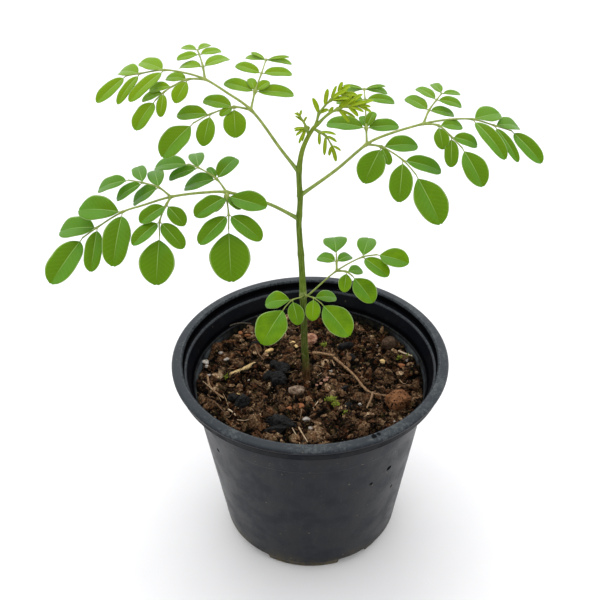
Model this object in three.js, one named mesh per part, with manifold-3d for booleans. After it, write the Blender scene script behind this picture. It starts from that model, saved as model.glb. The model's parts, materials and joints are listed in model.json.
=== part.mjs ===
// A young moringa tree in a round nursery pot. Millimetres, +Z up.
// The pot's axis is Z, its underside is at z = 0, and the photograph is taken from the -Y side.
import * as THREE from 'three';
import { mergeVertices } from 'three/addons/utils/BufferGeometryUtils.js';
import Module from 'manifold-3d';

const wasm = await Module();
wasm.setup();

// Driving dimensions of the pot
const POT_HEIGHT = 118;
const LIP_RADIUS = 75;
const COLLAR_RADIUS = 73;
const COLLAR_DEPTH = 8.5;
const BODY_TOP_RADIUS = 63.1;
const BODY_TOP_HEIGHT = 91;
const BODY_FOOT_RADIUS = 49.7;
const FOOT_RADIUS = 46.7;
const FOOT_HEIGHT = 5.2;
const FLOOR_TOP = 6.5;
const FLOOR_THICKNESS = 2;
const REST_DISC_RADIUS = 16.5;
const WALL = 1.5;
const POT_SIDES = 36;
const FOOT_NOTCHES = 5;
const FIRST_NOTCH_BEARING = -60.5;
const NOTCH_WIDTH = 17;
const NOTCH_HEIGHT = 4.3;
const DRAIN_DIAMETER = 8;
const DRAIN_SIDES = 8;
const DRAIN_CIRCLE_RADIUS = 32;
const CUTTER_LENGTH = 13;

// Driving dimensions of the soil and the plant
const GAP = 0.3;
const SOIL_LEVEL = 98;
const SOIL_RELIEF = 0.84;
const SOIL_EDGE_RADIUS = 54;
const SOIL_RING_STEP = 11;
const LUMP_ROUGHNESS = 0.07;
const STEM_BASE_WIDTH = 4.2;
const STEM_TIP_WIDTH = 1.7;
const STEM_SIDES = 8;
const STEM_STEPS = 20;
const NODE_SWELLING = 0.16;
const NODE_REACH = 3;
const LEAF_NODES = [156, 182, 205, 217, 231];
const TWIG_TAPER = 0.8;
const TWIG_SIDES = 5;
const TWIG_STEPS = 4;
const RACHIS_SIDES = 4;
const PINNA_SIDES = 4;
const PINNA_WIDTHS = [1.3, 1.1];
const BLADE = 0.7;
const BLADE_FOLD = 0.3;
const BLADE_BULGE = 0.05;
const LARGE_LEAFLET = 19;
const NARROW_LEAFLET = 4;
const FLAT_LEAFLET = 7;
const LEAFLET_STALK = 0.9;
// Blades turn their upper face to the light, which comes from in front and above
const LIGHT = new THREE.Vector3(0, -0.4, 0.92);

const COLOURS = {
  pot: [0x3c3c3c, 0.55],
  soil: [0x3d352e, 0.95],
  stem: [0x7f8f45, 0.6],
  frond: [0x5c8f1a, 0.5],
  young: [0x86a51c, 0.5],
  charcoal: [0x1f1d1c, 0.9],
  stone: [0x8b867e, 0.8],
  clay: [0x7a5546, 0.9],
  clod: [0x5e4434, 0.95],
  twig: [0x6b5138, 0.8],
  straw: [0xb39a63, 0.7],
};

// Centre line of the stem, from the root's cut end to the top fork
const STEM_ROUTE = [
  [-2, 2.5, 70], [-2.2, 2.5, 99], [-2.7, 2.5, 126], [-3.2, 2.5, 155], [-3.7, 2.5, 181], [-4.8, 2.5, 200],
  [-5.4, 2.5, 212], [-5.4, 2.5, 222], [-4.8, 2.5, 232], [-2.4, 2.5, 243.5], [2, 2.5, 252.8], [4.9, 2.5, 256],
];

// A frond is its midrib, the rachis, with pinnae on some of its points and leaflets on others.
// A leaflet is [point on its stalk, length, width, bearing from +X in plan, droop below level],
// with angles in degrees. Points are counted from the end that joins the stem.
const FRONDS = [
  {
    name: 'frond_lower_left',
    look: 'frond',
    widths: [2, 1.1],
    rachis: [[-5, 2.5, 203], [-20, 1, 213], [-40, -1, 221], [-51, -1, 221], [-67, -3, 220], [-81, -4, 216],
      [-91, -5, 213], [-104, -6, 205], [-112, -6, 199]],
    leaflets: [[6, 23, 14.5, 167, 4], [6, 28, 13.5, -99, 36], [7, 23, 12.5, 160, 17], [7, 23, 9, -97, 36],
      [8, 29, 15.5, -125, 28]],
    pinnae: [
      {
        point: 2,
        route: [[-40, -3, 220], [-39, -10, 214], [-39, -15, 209]],
        leaflets: [[1, 21, 12, -22, 4], [1, 10, 5, -40, 22], [1, 19, 10, -143, 13], [1, 10, 4.5, -128, 25],
          [2, 21, 10, -37, 20], [2, 21, 10, -134, 21], [3, 26, 19.5, -86, 44]],
      },
      {
        point: 2,
        route: [[-45, 5, 225], [-54, 11, 228], [-59, 13, 229]],
        leaflets: [[1, 18, 9, 60, -10], [1, 10, 4, 118, -9], [1, 21, 10.5, 154, 26], [2, 19, 8, 99, 6],
          [2, 19, 7, 161, 28], [3, 23, 9.5, 148, 20]],
      },
      {
        point: 4,
        route: [[-69, -7, 218], [-72, -14, 213], [-72, -19, 208]],
        leaflets: [[1, 14, 8.5, -44, 28], [1, 16, 8.5, -140, 13], [2, 18, 8.5, -43, 28],
          [2, 18, 8.5, -135, 17], [3, 24, 17, -94, 43]],
      },
      {
        point: 4,
        route: [[-73, 1, 223], [-81, 4, 224], [-88, 5, 225]],
        leaflets: [[1, 20, 8.5, 102, 4], [1, 19, 9.5, 160, 37], [2, 18, 7.5, 105, 2], [2, 18, 7.5, 171, 36],
          [3, 22, 9, 153, 28]],
      },
    ],
  },
  {
    name: 'frond_upper_left',
    look: 'frond',
    widths: [1.9, 1],
    rachis: [[-5, 2.5, 230], [-13, 4, 241], [-27, 7, 261], [-38, 9, 269], [-48, 11, 275], [-56, 13, 277],
      [-67, 15, 278], [-79, 18, 275], [-86, 20, 273]],
    leaflets: [[6, 17, 8.5, 137, 3], [6, 23, 7, -137, 22], [7, 17, 8.5, 134, 15], [7, 19, 5, -126, 28],
      [8, 19, 7.5, -142, 26]],
    pinnae: [
      {
        point: 2,
        route: [[-25, 14, 267], [-22, 23, 272], [-20, 34, 274]],
        leaflets: [[1, 20, 8, 20, 14], [1, 9, 5, 40, -16], [1, 18, 7.5, 146, -1], [1, 9, 4.5, 107, -20],
          [2, 16, 6.5, 23, 11], [2, 15, 6, 147, -3], [3, 14, 4.5, 21, 18], [3, 14, 4.5, 138, 11]],
      },
      {
        point: 2,
        route: [[-35, 8, 262], [-46, 5, 260], [-54, 2, 257]],
        leaflets: [[1, 16, 8.5, 156, -3], [1, 8, 4.5, -150, 18], [1, 15, 11, -86, 44], [2, 17, 9.5, 165, 8],
          [2, 16, 9, -106, 41], [3, 22, 13.5, -138, 29]],
      },
      {
        point: 4,
        route: [[-49, 16, 279], [-51, 23, 282], [-52, 26, 283]],
        leaflets: [[1, 17, 6.5, 48, 5], [1, 15, 6, 145, 15], [2, 14, 5, 46, 10], [2, 13, 5, 157, 18],
          [3, 11, 4, 60, 8], [3, 13, 4, 132, 12]],
      },
      {
        point: 4,
        route: [[-56, 11, 275], [-63, 8, 273], [-67, 6, 271], [-71, 4, 268]],
        leaflets: [[1, 13, 6.5, 148, 10], [1, 13, 7.5, -123, 36], [2, 12, 6.5, 167, 14],
          [3, 12, 5.5, 172, 24], [3, 12, 5, -100, 44], [4, 17, 8.5, -131, 35]],
      },
    ],
  },
  {
    name: 'frond_upper_right',
    look: 'frond',
    widths: [2, 1],
    rachis: [[-5, 2.5, 216], [13, 5, 229], [28, 7, 242], [34, 8, 245], [55, 10, 251], [67, 12, 252],
      [79, 14, 251], [90, 15, 247], [99, 17, 243]],
    leaflets: [[6, 18, 11, 34, 6], [6, 26, 8.5, -53, 26], [7, 17, 9.5, 32, 18], [7, 22, 5.5, -58, 30],
      [8, 22, 9, -47, 27]],
    pinnae: [
      {
        point: 2,
        route: [[28, 14, 247], [28, 29, 255], [28, 36, 257]],
        leaflets: [[1, 18, 8, 24, 8], [1, 10, 5, 62, -28], [1, 21, 9.5, 154, 5], [1, 9, 4.5, 102, -14],
          [2, 16, 6.5, 15, 14], [2, 16, 6.5, 154, 17], [3, 14, 5, 30, 17], [3, 13, 5, 138, 20]],
      },
      {
        point: 2,
        route: [[35, 6, 241], [45, 0, 237], [51, -5, 232]],
        leaflets: [[1, 19, 10.5, 17, 7], [1, 20, 13.5, -123, 37], [1, 10, 5, -64, 34], [2, 21, 9.5, 9, 22],
          [2, 21, 11.5, -99, 41], [3, 27, 16, -60, 37]],
      },
      {
        point: 4,
        route: [[58, 16, 255], [62, 21, 258], [65, 26, 259]],
        leaflets: [[1, 15, 6.5, 22, 20], [1, 17, 7, 125, -1], [2, 14, 6, 12, 20], [2, 15, 6, 124, -2],
          [3, 12, 4, 30, 16], [3, 13, 5, 104, 3]],
      },
      {
        point: 4,
        route: [[62, 8, 251], [68, 4, 247], [73, 0, 243]],
        leaflets: [[1, 13, 7.5, 18, 12], [1, 12, 7.5, -79, 42], [2, 14, 7.5, 5, 22], [2, 15, 7, -94, 43],
          [3, 21, 12, -58, 37]],
      },
    ],
  },
  {
    name: 'frond_low_right',
    look: 'frond',
    widths: [1.6, 1.1],
    rachis: [[-3, 2.5, 154], [0, 2, 157], [14, 0, 173], [27, -1, 182], [34, -2, 184]],
    leaflets: [[3, 17, 10, 76, -3], [3, 17, 9, -41, 15], [4, 17, 12, -23, 3]],
    pinnae: [
      {
        point: 2,
        route: [[14, 4, 176], [14, 8, 178]],
        leaflets: [[1, 12, 6, 48, 12], [1, 13, 7, 138, 12], [2, 16, 12.5, 92, 0]],
      },
      {
        point: 2,
        route: [[19, -1, 173], [22, -2, 171]],
        leaflets: [[1, 11, 6.5, 36, 18], [1, 11, 7, -100, 36], [2, 17.5, 12, -49, 28]],
      },
    ],
  },
  {
    name: 'leaf_front_left',
    look: 'frond',
    widths: [1.3, 1],
    rachis: [[-3, 2.5, 157], [-4, -1, 157.5], [-9, -3, 157], [-13, -7, 155]],
    leaflets: [[2, 16, 10, 162, 20], [2, 14, 8.5, -75, 33], [3, 22.5, 16.5, -127, 31]],
    pinnae: [],
  },
  {
    name: 'leaf_front_right',
    look: 'frond',
    widths: [1.3, 1],
    rachis: [[-3, 2.5, 159], [-2, -1, 158.5], [2, -2, 157.5], [6, -5, 156]],
    leaflets: [[2, 14, 8, 26, 17], [2, 12.5, 8, -94, 35], [3, 22.5, 15, -46, 27]],
    pinnae: [],
  },
  {
    name: 'young_frond_main',
    look: 'young',
    widths: [1.5, 1],
    rachis: [[4, 2.5, 255], [9.3, 2.5, 260.5], [13.8, 2.5, 263], [18.3, 2.5, 264.5], [23, 2.5, 264.5]],
    leaflets: [[1, 4, 1.6, 35, -45], [2, 8, 2, 25, -38], [2, 8, 2, -35, 38], [3, 8, 2, 30, -28],
      [3, 6, 2, -40, 28], [4, 8, 2, 20, -12], [4, 7, 2, -12, 22]],
    pinnae: [],
  },
  {
    name: 'young_frond_upper',
    look: 'young',
    widths: [1.3, 0.9],
    rachis: [[3, 2.5, 254], [4, 3, 257], [4.9, 4, 260], [7.7, 5, 263.5], [10.6, 6, 266], [14, 7, 268.5]],
    leaflets: [[2, 8, 2, 150, -66], [2, 6, 2, 10, -20], [3, 8, 2, 60, -70], [4, 7, 1.8, 50, -55],
      [4, 8, 2, -20, -14], [5, 7, 2, 20, -30], [5, 6, 1.8, 60, -50]],
    pinnae: [],
  },
  {
    name: 'young_frond_drooping',
    look: 'young',
    widths: [1.2, 0.9],
    rachis: [[2.5, 2.5, 253], [5, 0, 252.6], [8, -1, 251], [10.8, -2, 246.5]],
    leaflets: [[1, 8, 1.8, -10, 5], [1, 6, 1.6, -90, 58], [2, 6, 1.8, -8, 28], [2, 9, 1.8, -100, 62],
      [3, 5, 1.6, -20, 24], [3, 8, 2, -50, 66], [3, 5, 1.6, -120, 60]],
    pinnae: [],
  },
  {
    name: 'young_frond_small',
    look: 'young',
    widths: [1.2, 0.9],
    rachis: [[0, 2.5, 250], [-1, 1, 254], [-2.2, 0.5, 257.5], [-4, 0.5, 260.5]],
    leaflets: [[1, 6, 1.6, 175, 4], [1, 6, 1.6, -165, 30], [1, 8, 1.6, -150, 58], [2, 4, 1.6, 20, -50],
      [3, 3, 1.4, 170, -20], [3, 3, 1.4, 60, -60]],
    pinnae: [],
  },
];

// Loose pieces bedded in the soil: [name, look, centre, size, turn about Z]
const LUMPS = [
  ['charcoal_lump_middle', 'charcoal', [-18, 0, 100.5], [11, 12, 8], 20],
  ['charcoal_lump_left', 'charcoal', [-37, -18, 100.2], [11, 8, 7], 65],
  ['charcoal_lump_front', 'charcoal', [-17, -33, 99.8], [15, 8, 7], 170],
  ['charcoal_lump_back', 'charcoal', [21, 29, 100.2], [10, 6, 6], 15],
  ['stone', 'stone', [-7.5, -8, 99.2], [9, 7, 6], 0],
  ['clay_lump', 'clay', [47, -19, 100.6], [14, 12, 9], 35],
  ['clod_right', 'clod', [46, 31, 100.2], [9, 8, 8], 0],
  ['clod_back', 'clod', [1, 37, 98.8], [8, 7, 7], 40],
];

// Loose twigs: [name, look, width, points along it]
const TWIGS = [
  ['twig_long', 'twig', 1.6, [[14, 20, 98.5], [24, 5, 98.7], [32, -10, 98.8], [41, -12, 97.4]]],
  ['twig_short', 'twig', 2, [[2, 24, 98.9], [8, 23.4, 98.6], [14, 22.4, 98]]],
  ['twig_left', 'twig', 1.4, [[-57, 5, 98.9], [-55, -4, 98.3], [-47, -14, 99]]],
  ['straw', 'straw', 1.8, [[-44, 6, 98.8], [-38, 10.6, 98.2], [-31, 15, 98.9]]],
];

// Closed meshes in and out of the solid library
function toSolid(geometry) {
  const bare = geometry.clone();
  bare.deleteAttribute('normal');
  bare.deleteAttribute('uv');
  const merged = mergeVertices(bare, 1e-4);
  const mesh = new wasm.Mesh({
    numProp: 3,
    vertProperties: new Float32Array(merged.attributes.position.array),
    triVerts: new Uint32Array(merged.index.array),
  });
  return new wasm.Manifold(mesh);
}

function toGeometry(solid) {
  const mesh = solid.getMesh();
  const geometry = new THREE.BufferGeometry();
  geometry.setAttribute('position', new THREE.BufferAttribute(new Float32Array(mesh.vertProperties), 3));
  geometry.setIndex(new THREE.BufferAttribute(new Uint32Array(mesh.triVerts), 1));
  const split = geometry.toNonIndexed();
  split.computeVertexNormals();
  return split;
}

function fuse(solids) {
  return solids.reduce((whole, piece) => whole.add(piece));
}

function vector(point) {
  return new THREE.Vector3(...point);
}

function regularShape(radius, sides) {
  const corners = [];
  for (let i = 0; i < sides; i += 1) {
    const angle = (i / sides) * 2 * Math.PI;
    corners.push(new THREE.Vector2(radius * Math.cos(angle), radius * Math.sin(angle)));
  }
  return new THREE.Shape(corners);
}

// A tube along points whose width follows widthAt(share of the way, point)
function tube(points, widthAt, sides, steps) {
  const curve = new THREE.CatmullRomCurve3(points.map(vector));
  const geometry = new THREE.ExtrudeGeometry(regularShape(0.5, sides), { steps, extrudePath: curve });
  const centres = curve.getSpacedPoints(steps);
  const position = geometry.attributes.position;
  const corner = new THREE.Vector3();
  for (let i = 0; i < position.count; i += 1) {
    corner.fromBufferAttribute(position, i);
    const nearest = centres.reduce(
      (best, centre, k) => (centre.distanceTo(corner) < centres[best].distanceTo(corner) ? k : best), 0);
    const centre = centres[nearest];
    corner.sub(centre).multiplyScalar(widthAt(nearest / steps, centre)).add(centre);
    position.setXYZ(i, corner.x, corner.y, corner.z);
  }
  return toSolid(geometry);
}

function taperedTube(points, startWidth, endWidth, sides, steps) {
  return tube(points, (share) => startWidth + (endWidth - startWidth) * share, sides, steps);
}

// Moulded pot: foot ring, thin tapered wall, and a lip with a hanging collar
function potProfile() {
  const top = POT_HEIGHT;
  const collarFoot = top - COLLAR_DEPTH;
  return [
    [0, 0], [REST_DISC_RADIUS, 0], [REST_DISC_RADIUS + 3.5, FLOOR_TOP - FLOOR_THICKNESS],
    [FOOT_RADIUS - 2.2, FLOOR_TOP - FLOOR_THICKNESS], [FOOT_RADIUS - 1.8, 0], [FOOT_RADIUS, 0],
    [FOOT_RADIUS + 1.7, FOOT_HEIGHT], [BODY_FOOT_RADIUS, FOOT_HEIGHT + 0.8],
    [BODY_TOP_RADIUS - 0.5, BODY_TOP_HEIGHT - 0.4], [BODY_TOP_RADIUS, BODY_TOP_HEIGHT],
    [BODY_TOP_RADIUS + 1.8, top - 15.5], [COLLAR_RADIUS - 3.4, collarFoot - 0.5],
    [COLLAR_RADIUS - 3, top - 3], [COLLAR_RADIUS - 1.4, top - 3],
    [COLLAR_RADIUS - 1.7, collarFoot + 0.1], [COLLAR_RADIUS - 0.5, collarFoot],
    [COLLAR_RADIUS + 0.3, top - 3.3], [LIP_RADIUS - 0.2, top - 2.8], [LIP_RADIUS, top - 1.5],
    [LIP_RADIUS - 1, top - 0.5], [LIP_RADIUS - 5, top], [LIP_RADIUS - 6, top - 0.7],
    [LIP_RADIUS - 6.7, top - 6.3], [LIP_RADIUS - 7.8, top - 6.8], [LIP_RADIUS - 10.6, top - 15],
    [LIP_RADIUS - 11.6, top - 16], [BODY_TOP_RADIUS - WALL, BODY_TOP_HEIGHT],
    [BODY_FOOT_RADIUS - WALL, FLOOR_TOP + 1], [BODY_FOOT_RADIUS - WALL - 0.9, FLOOR_TOP],
    [REST_DISC_RADIUS + 3, FLOOR_TOP], [REST_DISC_RADIUS - 0.8, FLOOR_THICKNESS], [0, FLOOR_THICKNESS],
  ];
}

function revolve(profile) {
  const points = profile.map(([radius, height]) => new THREE.Vector2(radius, height));
  const geometry = new THREE.LatheGeometry([...points, points[0]], POT_SIDES);
  geometry.rotateX(Math.PI / 2);
  return geometry;
}

function makePot() {
  let pot = toSolid(revolve(potProfile()));
  for (let i = 0; i < FOOT_NOTCHES; i += 1) {
    const angle = THREE.MathUtils.degToRad(FIRST_NOTCH_BEARING + (i * 360) / FOOT_NOTCHES);
    const holeAngle = angle + Math.PI / FOOT_NOTCHES;
    const notch = new THREE.BoxGeometry(CUTTER_LENGTH, NOTCH_WIDTH, 2 * NOTCH_HEIGHT);
    notch.translate(FOOT_RADIUS, 0, 0);
    notch.rotateZ(angle);
    const hole = new THREE.CylinderGeometry(
      DRAIN_DIAMETER / 2, DRAIN_DIAMETER / 2, CUTTER_LENGTH, DRAIN_SIDES);
    hole.rotateX(Math.PI / 2);
    hole.translate(
      DRAIN_CIRCLE_RADIUS * Math.cos(holeAngle), DRAIN_CIRCLE_RADIUS * Math.sin(holeAngle), FLOOR_TOP);
    pot = pot.subtract(toSolid(notch)).subtract(toSolid(hole));
  }
  return pot;
}

// Soil fills the pot and has a gently uneven top
function soilHeight(x, y) {
  const waves = Math.sin(0.31 * x + 1.3) * Math.cos(0.27 * y)
    + 0.6 * Math.sin(0.63 * x - 0.41 * y) + 0.4 * Math.cos(0.9 * y + 0.2 * x);
  return SOIL_LEVEL + SOIL_RELIEF * waves;
}

function soilProfile() {
  const side = WALL + GAP;
  const profile = [
    [0, FLOOR_THICKNESS + GAP], [REST_DISC_RADIUS - 1, FLOOR_THICKNESS + GAP],
    [REST_DISC_RADIUS + 2.8, FLOOR_TOP + GAP], [BODY_FOOT_RADIUS - side - 1, FLOOR_TOP + GAP],
    [BODY_FOOT_RADIUS - side, FLOOR_TOP + GAP + 1], [BODY_TOP_RADIUS - side, BODY_TOP_HEIGHT],
    [BODY_TOP_RADIUS - side + 0.9, SOIL_LEVEL - 0.8],
  ];
  for (let radius = SOIL_EDGE_RADIUS; radius > 0; radius -= SOIL_RING_STEP) {
    profile.push([radius, SOIL_LEVEL]);
  }
  profile.push([0, SOIL_LEVEL]);
  return profile;
}

function makeSoil() {
  const geometry = revolve(soilProfile());
  const position = geometry.attributes.position;
  for (let i = 0; i < position.count; i += 1) {
    if (position.getZ(i) > SOIL_LEVEL - 0.1) {
      position.setZ(i, soilHeight(position.getX(i), position.getY(i)));
    }
  }
  const sockets = [stemSolid(2 * GAP)];
  sockets.push(...LUMPS.map((row) => lump(row, 2 * GAP)));
  sockets.push(...TWIGS.map((row) => twig(row, 2 * GAP)));
  return sockets.reduce((soil, socket) => soil.subtract(socket), toSolid(geometry));
}

// Lumps are rough pebbles, each bedded to about its middle
function lump([, , centre, size, turn], extra) {
  const geometry = new THREE.IcosahedronGeometry(1, 1);
  const position = geometry.attributes.position;
  const corner = new THREE.Vector3();
  for (let i = 0; i < position.count; i += 1) {
    corner.fromBufferAttribute(position, i);
    const rough = Math.sin(5.1 * corner.x + centre[0]) + Math.sin(4.3 * corner.y + centre[1])
      + Math.sin(4.7 * corner.z);
    corner.multiplyScalar(1 + LUMP_ROUGHNESS * rough);
    corner.multiply(new THREE.Vector3(...size.map((length) => (length + extra) / 2)));
    position.setXYZ(i, corner.x, corner.y, corner.z);
  }
  geometry.rotateZ(THREE.MathUtils.degToRad(turn));
  geometry.translate(...centre);
  return toSolid(geometry);
}

function twig([, , width, points], extra) {
  const ends = points.map(vector);
  const reach = extra / 2;
  const first = ends[0].clone().sub(ends[1]).setLength(reach).add(ends[0]);
  const last = ends.at(-1).clone().sub(ends.at(-2)).setLength(reach).add(ends.at(-1));
  const route = [first, ...ends.slice(1, -1), last].map((point) => point.toArray());
  return taperedTube(route, width + extra, width * TWIG_TAPER + extra, TWIG_SIDES, TWIG_STEPS);
}

// The stem swells a little at every leaf node
function stemSolid(extra) {
  const end = vector(STEM_ROUTE.at(-1));
  const before = vector(STEM_ROUTE.at(-2));
  const start = vector(STEM_ROUTE[0]);
  const reach = extra / 2;
  const last = end.clone().sub(before).setLength(reach).add(end);
  const first = new THREE.Vector3(start.x, start.y, start.z - reach);
  const route = [first.toArray(), ...STEM_ROUTE.slice(1, -1), last.toArray()];
  const widthAt = (share, centre) => {
    const swelling = LEAF_NODES.reduce(
      (sum, height) => sum + Math.exp(-(((centre.z - height) / NODE_REACH) ** 2)), 0);
    const plain = STEM_BASE_WIDTH + (STEM_TIP_WIDTH - STEM_BASE_WIDTH) * share;
    return plain * (1 + NODE_SWELLING * Math.min(swelling, 1)) + extra;
  };
  return tube(route, widthAt, STEM_SIDES, STEM_STEPS);
}

// Half widths of a leaflet, as [share of its length, share of its width]
const LARGE_OUTLINE = [[0, 0.05], [0.1, 0.13], [0.36, 0.45], [0.7, 0.5], [1, 0.16]];
const SMALL_OUTLINE = [[0, 0.12], [0.3, 0.44], [0.7, 0.5], [1, 0.18]];
const NARROW_OUTLINE = [[0, 0.25], [0.45, 0.5], [1, 0.25]];

function outlineFor(length, width) {
  if (width < NARROW_LEAFLET) {
    return NARROW_OUTLINE;
  }
  return length < LARGE_LEAFLET ? SMALL_OUTLINE : LARGE_OUTLINE;
}

function leaflet(base, [, length, width, bearing, droop]) {
  const outline = outlineFor(length, width);
  const rows = outline.length - 1;
  const halves = width < FLAT_LEAFLET ? 1 : 2;
  const geometry = new THREE.BoxGeometry(1, 2, 1, rows, halves, 1);
  const position = geometry.attributes.position;
  for (let i = 0; i < position.count; i += 1) {
    const [share, half] = outline[Math.round((position.getX(i) + 0.5) * rows)];
    const across = position.getY(i) * Math.max(half * width, LEAFLET_STALK / 2);
    const bulge = 4 * BLADE_BULGE * length * share * (1 - share);
    const lift = bulge + (halves === 2 ? BLADE_FOLD * Math.abs(across) : 0);
    position.setXYZ(i, share * length, across, position.getZ(i) * BLADE + lift);
  }
  const turn = THREE.MathUtils.degToRad(bearing);
  const fall = THREE.MathUtils.degToRad(droop);
  const along = new THREE.Vector3(
    Math.cos(fall) * Math.cos(turn), Math.cos(fall) * Math.sin(turn), -Math.sin(fall));
  const side = new THREE.Vector3().crossVectors(LIGHT, along).normalize();
  const face = new THREE.Vector3().crossVectors(along, side);
  geometry.applyMatrix4(new THREE.Matrix4().makeBasis(along, side, face).setPosition(base));
  return toSolid(geometry);
}

function leafletsOn(route, leaflets) {
  return leaflets.map((row) => leaflet(vector(route[row[0]]), row));
}

function makeFrond({ rachis, widths, leaflets, pinnae }, stemSpace) {
  const [rootWidth, endWidth] = widths;
  const solids = [taperedTube(rachis, rootWidth, endWidth, RACHIS_SIDES, Math.ceil(1.4 * rachis.length))];
  solids.push(...leafletsOn(rachis, leaflets));
  for (const pinna of pinnae) {
    const route = [rachis[pinna.point], ...pinna.route];
    solids.push(taperedTube(route, ...PINNA_WIDTHS, PINNA_SIDES, route.length));
    solids.push(...leafletsOn(route, pinna.leaflets));
  }
  return fuse(solids).subtract(stemSpace);
}

const plant = new THREE.Group();

function place(name, look, solid) {
  const [color, roughness] = COLOURS[look];
  const material = new THREE.MeshStandardMaterial({ color, roughness, metalness: 0 });
  const mesh = new THREE.Mesh(toGeometry(solid), material);
  mesh.name = name;
  plant.add(mesh);
}

const stemSpace = stemSolid(2 * GAP);
place('pot', 'pot', makePot());
place('soil', 'soil', makeSoil());
place('stem', 'stem', stemSolid(0));
for (const frond of FRONDS) {
  place(frond.name, frond.look, makeFrond(frond, stemSpace));
}
for (const row of LUMPS) {
  place(row[0], row[1], lump(row, 0));
}
for (const row of TWIGS) {
  place(row[0], row[1], twig(row, 0));
}

export default plant;
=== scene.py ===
# %% [markdown]
# # A young moringa in a nursery pot
# A moringa is a thin green tree with feathery leaves: each leaf is a frond, a stalk that carries side
# stalks, and every side stalk carries pairs of small oval leaflets. This one grows in a black plastic pot
# of rough soil. The solids of the part come first, as a fixed frame. Everything below is drawn around them
# in the same coordinates: the pot's axis is Z, its underside is at height 0, and the photograph is taken
# from the -Y side.

# %% Load the frame
import json
import math

import bmesh
import bpy
import numpy as np
from mathutils import Matrix, Vector

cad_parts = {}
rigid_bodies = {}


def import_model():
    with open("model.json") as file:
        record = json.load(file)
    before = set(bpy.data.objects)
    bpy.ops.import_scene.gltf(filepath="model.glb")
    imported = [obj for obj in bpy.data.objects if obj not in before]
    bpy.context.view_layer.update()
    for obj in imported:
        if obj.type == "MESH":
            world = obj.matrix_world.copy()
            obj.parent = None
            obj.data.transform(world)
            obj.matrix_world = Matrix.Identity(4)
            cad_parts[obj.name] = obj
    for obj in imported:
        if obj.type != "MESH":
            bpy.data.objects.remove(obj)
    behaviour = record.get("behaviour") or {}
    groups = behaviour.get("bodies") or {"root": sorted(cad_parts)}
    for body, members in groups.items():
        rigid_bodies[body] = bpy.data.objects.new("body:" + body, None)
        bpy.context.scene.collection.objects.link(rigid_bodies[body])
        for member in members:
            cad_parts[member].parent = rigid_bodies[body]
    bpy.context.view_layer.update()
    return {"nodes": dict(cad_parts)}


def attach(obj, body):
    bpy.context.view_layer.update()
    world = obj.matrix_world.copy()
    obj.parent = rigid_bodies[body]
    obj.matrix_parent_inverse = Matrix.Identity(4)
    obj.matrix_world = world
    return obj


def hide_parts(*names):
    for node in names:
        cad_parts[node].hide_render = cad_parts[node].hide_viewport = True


for leftover in list(bpy.data.objects):
    bpy.data.objects.remove(leftover)
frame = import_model()
MM = 0.001
TURN = 2 * math.pi


def put(name, data):
    """A new object in the scene for a mesh, a lamp or a camera."""
    made = bpy.data.objects.new(name, data)
    bpy.context.scene.collection.objects.link(made)
    return made


def new_mesh(name, points, faces):
    """A mesh from points in millimetres."""
    mesh = bpy.data.meshes.new(name)
    mesh.from_pydata(np.asarray(points) * MM, [], faces)
    return mesh


print("frame loaded:", len(frame["nodes"]), "solids")

# %% [markdown]
# ## The camera
# A picture of a tall plant from above the rim shows both the soil and the fronds. The camera stands some
# 0.6 m away, looks down at 36 degrees and is turned by less than a degree, which was worked out from the
# pot's rim: a circle whose true size is known fixes where a camera stands. A lens of 66 mm keeps the depth
# gentle.

# %% Camera
CAMERA_PLACE = (-5.02, -462.42, 495.83)
CAMERA_PITCH = 36.42
CAMERA_ROLL = -0.71
lens = bpy.data.cameras.new("photo_camera")
lens.lens = 66
lens.sensor_width = 36
camera = put("photo_camera", lens)
pitch, roll = math.radians(90 - CAMERA_PITCH), math.radians(CAMERA_ROLL)
turn = Matrix.Rotation(pitch, 4, "X") @ Matrix.Rotation(roll, 4, "Z")
camera.matrix_world = Matrix.Translation([x * MM for x in CAMERA_PLACE]) @ turn
bpy.context.scene.camera = camera
print("camera looks down at", CAMERA_PITCH, "degrees")

# %% [markdown]
# ## Shader maths in plain Python
# A material is a small graph of nodes. Writing it as sums and products is easier to read than wiring it by
# hand, so one class wraps a node's output and overloads the operators, and a second class holds the
# material. Colours are mixed with Mix nodes, because a Math node would turn them grey.

# %% Wires and looks
class Wire:
    """An output of a node. Arithmetic on wires adds Math nodes to their material."""

    def __init__(self, look, socket):
        self.look = look
        self.socket = socket

    def maths(self, operation, *terms):
        return self.look.node("Math", {"operation": operation}, dict(enumerate(terms)))

    def __add__(self, other):
        return self.maths("ADD", self, other)

    def __sub__(self, other):
        return self.maths("SUBTRACT", self, other)

    def __mul__(self, other):
        return self.maths("MULTIPLY", self, other)

    def __truediv__(self, other):
        return self.maths("DIVIDE", self, other)

    __radd__ = __add__

    def __abs__(self):
        return self.maths("ABSOLUTE", self)

    def between(self, low, high):
        """0 at low, 1 at high, with a soft start and end."""
        return self.look.node("MapRange", {"interpolation_type": "SMOOTHSTEP"}, {0: self, 1: low, 2: high})


def paint(*screen):
    """Red, green and blue as a screen shows them, 0 to 255, as the light that a shader works with."""
    return (*(((c / 255 + 0.055) / 1.055) ** 2.4 if c > 10 else c / 255 / 12.92 for c in screen), 1)


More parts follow.
